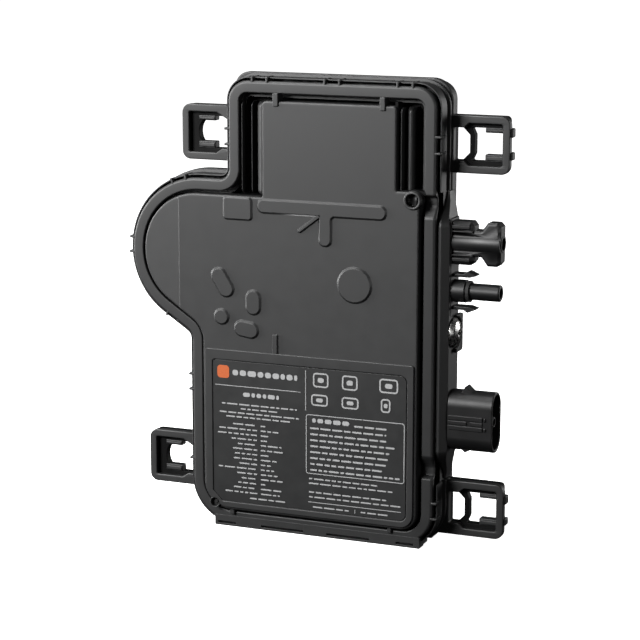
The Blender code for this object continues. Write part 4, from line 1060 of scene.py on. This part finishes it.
def dc_socket():
    """Chamfered block with latch notches, a round barrel along it and a bore in its end."""
    half, notch, bore = 9.75, 5.9, 2.8
    root = (SOCKET_START, AXIS_Y, SOCKET_Z)
    upper = [(SOCKET_START, half, 0.2), (104.2, half, 0.5), (105.8, half - 2.0, 0.4), (105.8, notch, 0.3),
             (109.0, notch, 0.3), (111.9, half, 0.6), (116.4, half, 0.6), (118.0, half - 1.8, 0.5)]
    loop = [(x, SOCKET_Z + z, r) for x, z, r in upper] + [(x, SOCKET_Z - z, r) for x, z, r in reversed(upper)]
    body = Solid().slab([loop], AXIS_Y - 4.4, AXIS_Y + 4.4, edges=(1.4, 1.4), arc=20, segments=1)
    body.spin(((0.3, 22.5, 0.0), (5.1, 22.5, 0.3), (5.1, 0.2, 0.0)), root)
    rib_start, rib_back = SOCKET_START + 0.4, AXIS_Y - 3.8
    for z in (SOCKET_Z + 7.3, SOCKET_Z - 7.3):
        body.block((rib_start, 104.0), (AXIS_Y - 4.9, rib_back), (z - 0.8, z + 0.8))
    for z in (SOCKET_Z + 5.3, SOCKET_Z - 5.3):
        body.block((rib_start, 105.4), (AXIS_Y - 4.8, rib_back), (z - 0.3, z + 0.3), 0.2)
    shell = body.piece("dc_socket_shell", CONNECTOR, "dc_socket_body")
    carve(shell, Solid().spin(((bore, 24.0, 0.0), (bore, 8.0, 0.0)), root, "X", 40))
    lip = Solid()
    lip.spin(((bore, 21.6, 0.0), (bore, 22.95, 0.2), (3.7, 22.95, 0.2), (3.7, 21.6, 0.0)),
             root, "X", 40, closed=True)
    lip.piece("dc_socket_lip", CONNECTOR)


def dc_plug():
    """Collar and tube of the plug, turned in one and hollow to its mouth."""
    body = Solid().spin((
        (2.3, 15.0, 0.0), (2.3, 25.8, 0.3), (3.8, 25.8, 0.7), (3.8, 10.4, 0.2), (4.5, 10.2, 0.2),
        (5.15, 9.8, 0.4), (5.15, 3.6, 0.3), (5.9, 3.5, 0.3), (5.9, 0.3, 0.0), (2.3, 0.3, 0.0),
    ), (ROUND_START, AXIS_Y, PLUG_Z), closed=True)
    body.piece("dc_plug_shell", CONNECTOR, "dc_plug_body")


def latches():
    """The plug's two barbed arms, each riding its own body."""
    profile = ((95.6, 6.6, 0.2), (103.6, 6.6, 1.5), (107.0, 7.6, 0.15), (102.6, 9.4, 0.3),
               (100.9, 8.2, 0.5), (95.6, 8.2, 0.2))
    for side, sign in (("upper", 1), ("lower", -1)):
        outline = [(x, PLUG_Z + sign * z, r) for x, z, r in profile]
        arm = Solid().slab([outline], AXIS_Y - 3.0, AXIS_Y + 3.0, edges=(0.35, 0.35), arc=15)
        arm.piece("latch_arm_" + side, CONNECTOR, "dc_latch_" + side, body="latch_" + side)


def earth_terminal():
    """Pan-head screw with a cross recess, on its washer, and the guard plate behind it."""
    head = Solid().spin(((0.3, 6.9, 0.0), (2.4, 6.8, 1.0), (5.2, 5.9, 1.6), (6.9, 4.3, 0.5), (6.9, 3.9, 0.1),
                         (1.9, 3.9, 0.0), (1.9, 0.1, 0.0)), (ROUND_START, AXIS_Y, EARTH_Z))
    screw = head.piece("earth_screw_head", (zinc_look, "zinc_steel"), "earth_screw")
    cross = Solid()
    for half_y, half_z in ((2.7, 0.55), (0.55, 2.7)):
        arm = rectangle((AXIS_Y - half_y, EARTH_Z - half_z), (AXIS_Y + half_y, EARTH_Z + half_z), 0.3)
        cross.slab([arm], 96.6, 100.5, "YZ", edges=(0.3, 0.0), arc=30)
    carve(screw, cross)
    low, high, edge, reach = EARTH_Z - 9.3, EARTH_Z + 7.9, AXIS_Y + 8.8, 7.5
    guard = [(AXIS_Y, low, 0.3), (edge, low, 1.4), (edge, high, 1.4), (AXIS_Y, high, 0.1),
             (AXIS_Y, EARTH_Z + reach, 0.1)]
    for turn in range(15, 180, 15):
        angle = radians(turn)
        guard.append((AXIS_Y + reach * sin(angle), EARTH_Z + reach * cos(angle), 0.0))
    guard.append((AXIS_Y, EARTH_Z - reach, 0.1))
    plate = Solid().slab([guard], 95.5, 97.1, "YZ", edges=(0.25, 0.25), arc=20)
    plate.piece("earth_guard", (connector_look, "component_black"), "earth_guard_plate")


def carve(obj, cutter):
    """Cuts the cutter's shape out of obj's mesh."""
    mesh = bpy.data.meshes.new("cutter")
    mesh.from_pydata([to_part(*v) for v in cutter.verts], [], cutter.faces)
    tool = add("cutter", mesh)
    step = obj.modifiers.new("carve", "BOOLEAN")
    step.operation = "DIFFERENCE"
    step.solver = "EXACT"
    step.use_self = True
    step.object = tool
    obj.modifiers.move(len(obj.modifiers) - 1, 0)
    bpy.context.view_layer.update()
    carved = bpy.data.meshes.new_from_object(obj.evaluated_get(bpy.context.evaluated_depsgraph_get()))
    obj.modifiers.remove(step)
    obj.data = carved
    carved.set_sharp_from_angle(angle=SHARP)
    bpy.data.objects.remove(tool)


# Stage ---

CAMERA_PLACE = (0.359384, -0.880193, 0.292794)
CAMERA_TURN = (22.143, 11.458, 0.067)         # degrees: azimuth, downward pitch, roll
FOCAL_LENGTH = 118.42
FLOOR_REACH = 6.0
LAMPS = (                     # name, place, what it points at, size, watts
    ("key", (-0.62, -1.0, 0.62), (0.0, 0.0, 0.18), (0.5, 0.4), 32.0),
    ("top", (-0.35, -0.1, 0.95), (0.0, 0.0, 0.1), (0.5, 0.4), 9.0),
    ("left", (-1.1, -0.2, 0.25), (0.0, 0.0, 0.12), (0.35, 0.5), 18.0),
    ("right", (0.8, 1.0, 0.25), (0.0, 0.0, 0.1), (0.4, 0.5), 5.5),
    ("fill", (1.3, -0.7, 0.3), (0.06, 0.0, 0.1), (0.3, 0.4), 4.5),
)


def camera():
    """The photo's viewing point and angle."""
    eye = add("camera", bpy.data.cameras.new("camera"))
    azimuth, pitch, roll = (radians(angle) for angle in CAMERA_TURN)
    eye.matrix_world = Matrix.Translation(CAMERA_PLACE) @ Matrix.Rotation(azimuth, 4, "Z")
    eye.matrix_world @= Matrix.Rotation(pi / 2 - pitch, 4, "X") @ Matrix.Rotation(roll, 4, "Z")
    eye.data.lens = FOCAL_LENGTH
    eye.data.sensor_width = 36.0
    bpy.context.scene.camera = eye


def area_light(name, place, target, size, power):
    data = bpy.data.lights.new(name, "AREA")
    data.shape = "RECTANGLE"
    data.size, data.size_y = size
    data.energy = power
    lamp = add(name, data)
    lamp.location = place
    lamp.rotation_mode = "QUATERNION"
    lamp.rotation_quaternion = (Vector(target) - Vector(place)).to_track_quat("-Z", "Y")


def surroundings():
    """Pale walls as the camera sees them; for the light, bright above and dim towards the floor."""
    world = bpy.data.worlds.new("studio")
    world.use_nodes = True
    nodes, links = world.node_tree.nodes, world.node_tree.links
    background = nodes["Background"]
    split = nodes.new("ShaderNodeSeparateXYZ")
    links.new(nodes.new("ShaderNodeTexCoord").outputs["Generated"], split.inputs[0])
    ramp = nodes.new("ShaderNodeValToRGB")
    ramp.color_ramp.elements[1].color = (0.12, 0.12, 0.12, 1.0)
    links.new(split.outputs["Z"], ramp.inputs["Fac"])
    seen = nodes.new("ShaderNodeMix")
    seen.data_type = "RGBA"
    seen.inputs["B"].default_value = (1.0, 1.0, 1.0, 1.0)
    links.new(nodes.new("ShaderNodeLightPath").outputs["Is Camera Ray"], seen.inputs["Factor"])
    links.new(ramp.outputs["Color"], seen.inputs["A"])
    links.new(seen.outputs["Result"], background.inputs["Color"])
    bpy.context.scene.world = world


def stage():
    """Pale floor, pale surroundings and soft studio lamps."""
    mesh = bpy.data.meshes.new("floor")
    corners = rectangle((-FLOOR_REACH, -FLOOR_REACH), (FLOOR_REACH, FLOOR_REACH))
    mesh.from_pydata(corners, [], [(0, 1, 2, 3)])
    floor = add("floor", mesh)
    floor.visible_glossy = False
    floor.visible_diffuse = False
    look = Look("pale_floor", 0.9, specular=0.1)
    look.colour(look.ramp(look.noise(60.0, 3.0), (0.90, 0.90, 0.90), (0.93, 0.93, 0.93)))
    look.shader.inputs["Emission Color"].default_value = (1.0, 1.0, 1.0, 1.0)
    look.shader.inputs["Emission Strength"].default_value = 1.0
    mesh.materials.append(look.material)
    surroundings()
    for lamp in LAMPS:
        area_light(*lamp)
    bpy.context.scene.view_settings.view_transform = "Standard"


def pierce(radius, centre, *pieces):
    """Drills a round hole from the front into each piece."""
    for piece in pieces:
        carve(piece, Solid().spin(((radius, 9.0, 0.0), (radius, 1.0, 0.0)), centre, "Y", 40))


def main():
    camera()
    dress_nodes()
    cover_rim()
    panel = cover_panel()
    well_floor()
    zone = label_zone()
    marks = raised_features()
    pierce(2.15, VENT, panel, zone)
    pierce(2.85, LENS, panel, marks)
    groove_ribs()
    skirt()
    vent_and_lens()
    label()
    rear_tray()
    back_ribs()
    ears()
    bulkhead()
    ac_connector()
    dc_socket()
    dc_plug()
    latches()
    earth_terminal()
    stage()


main()
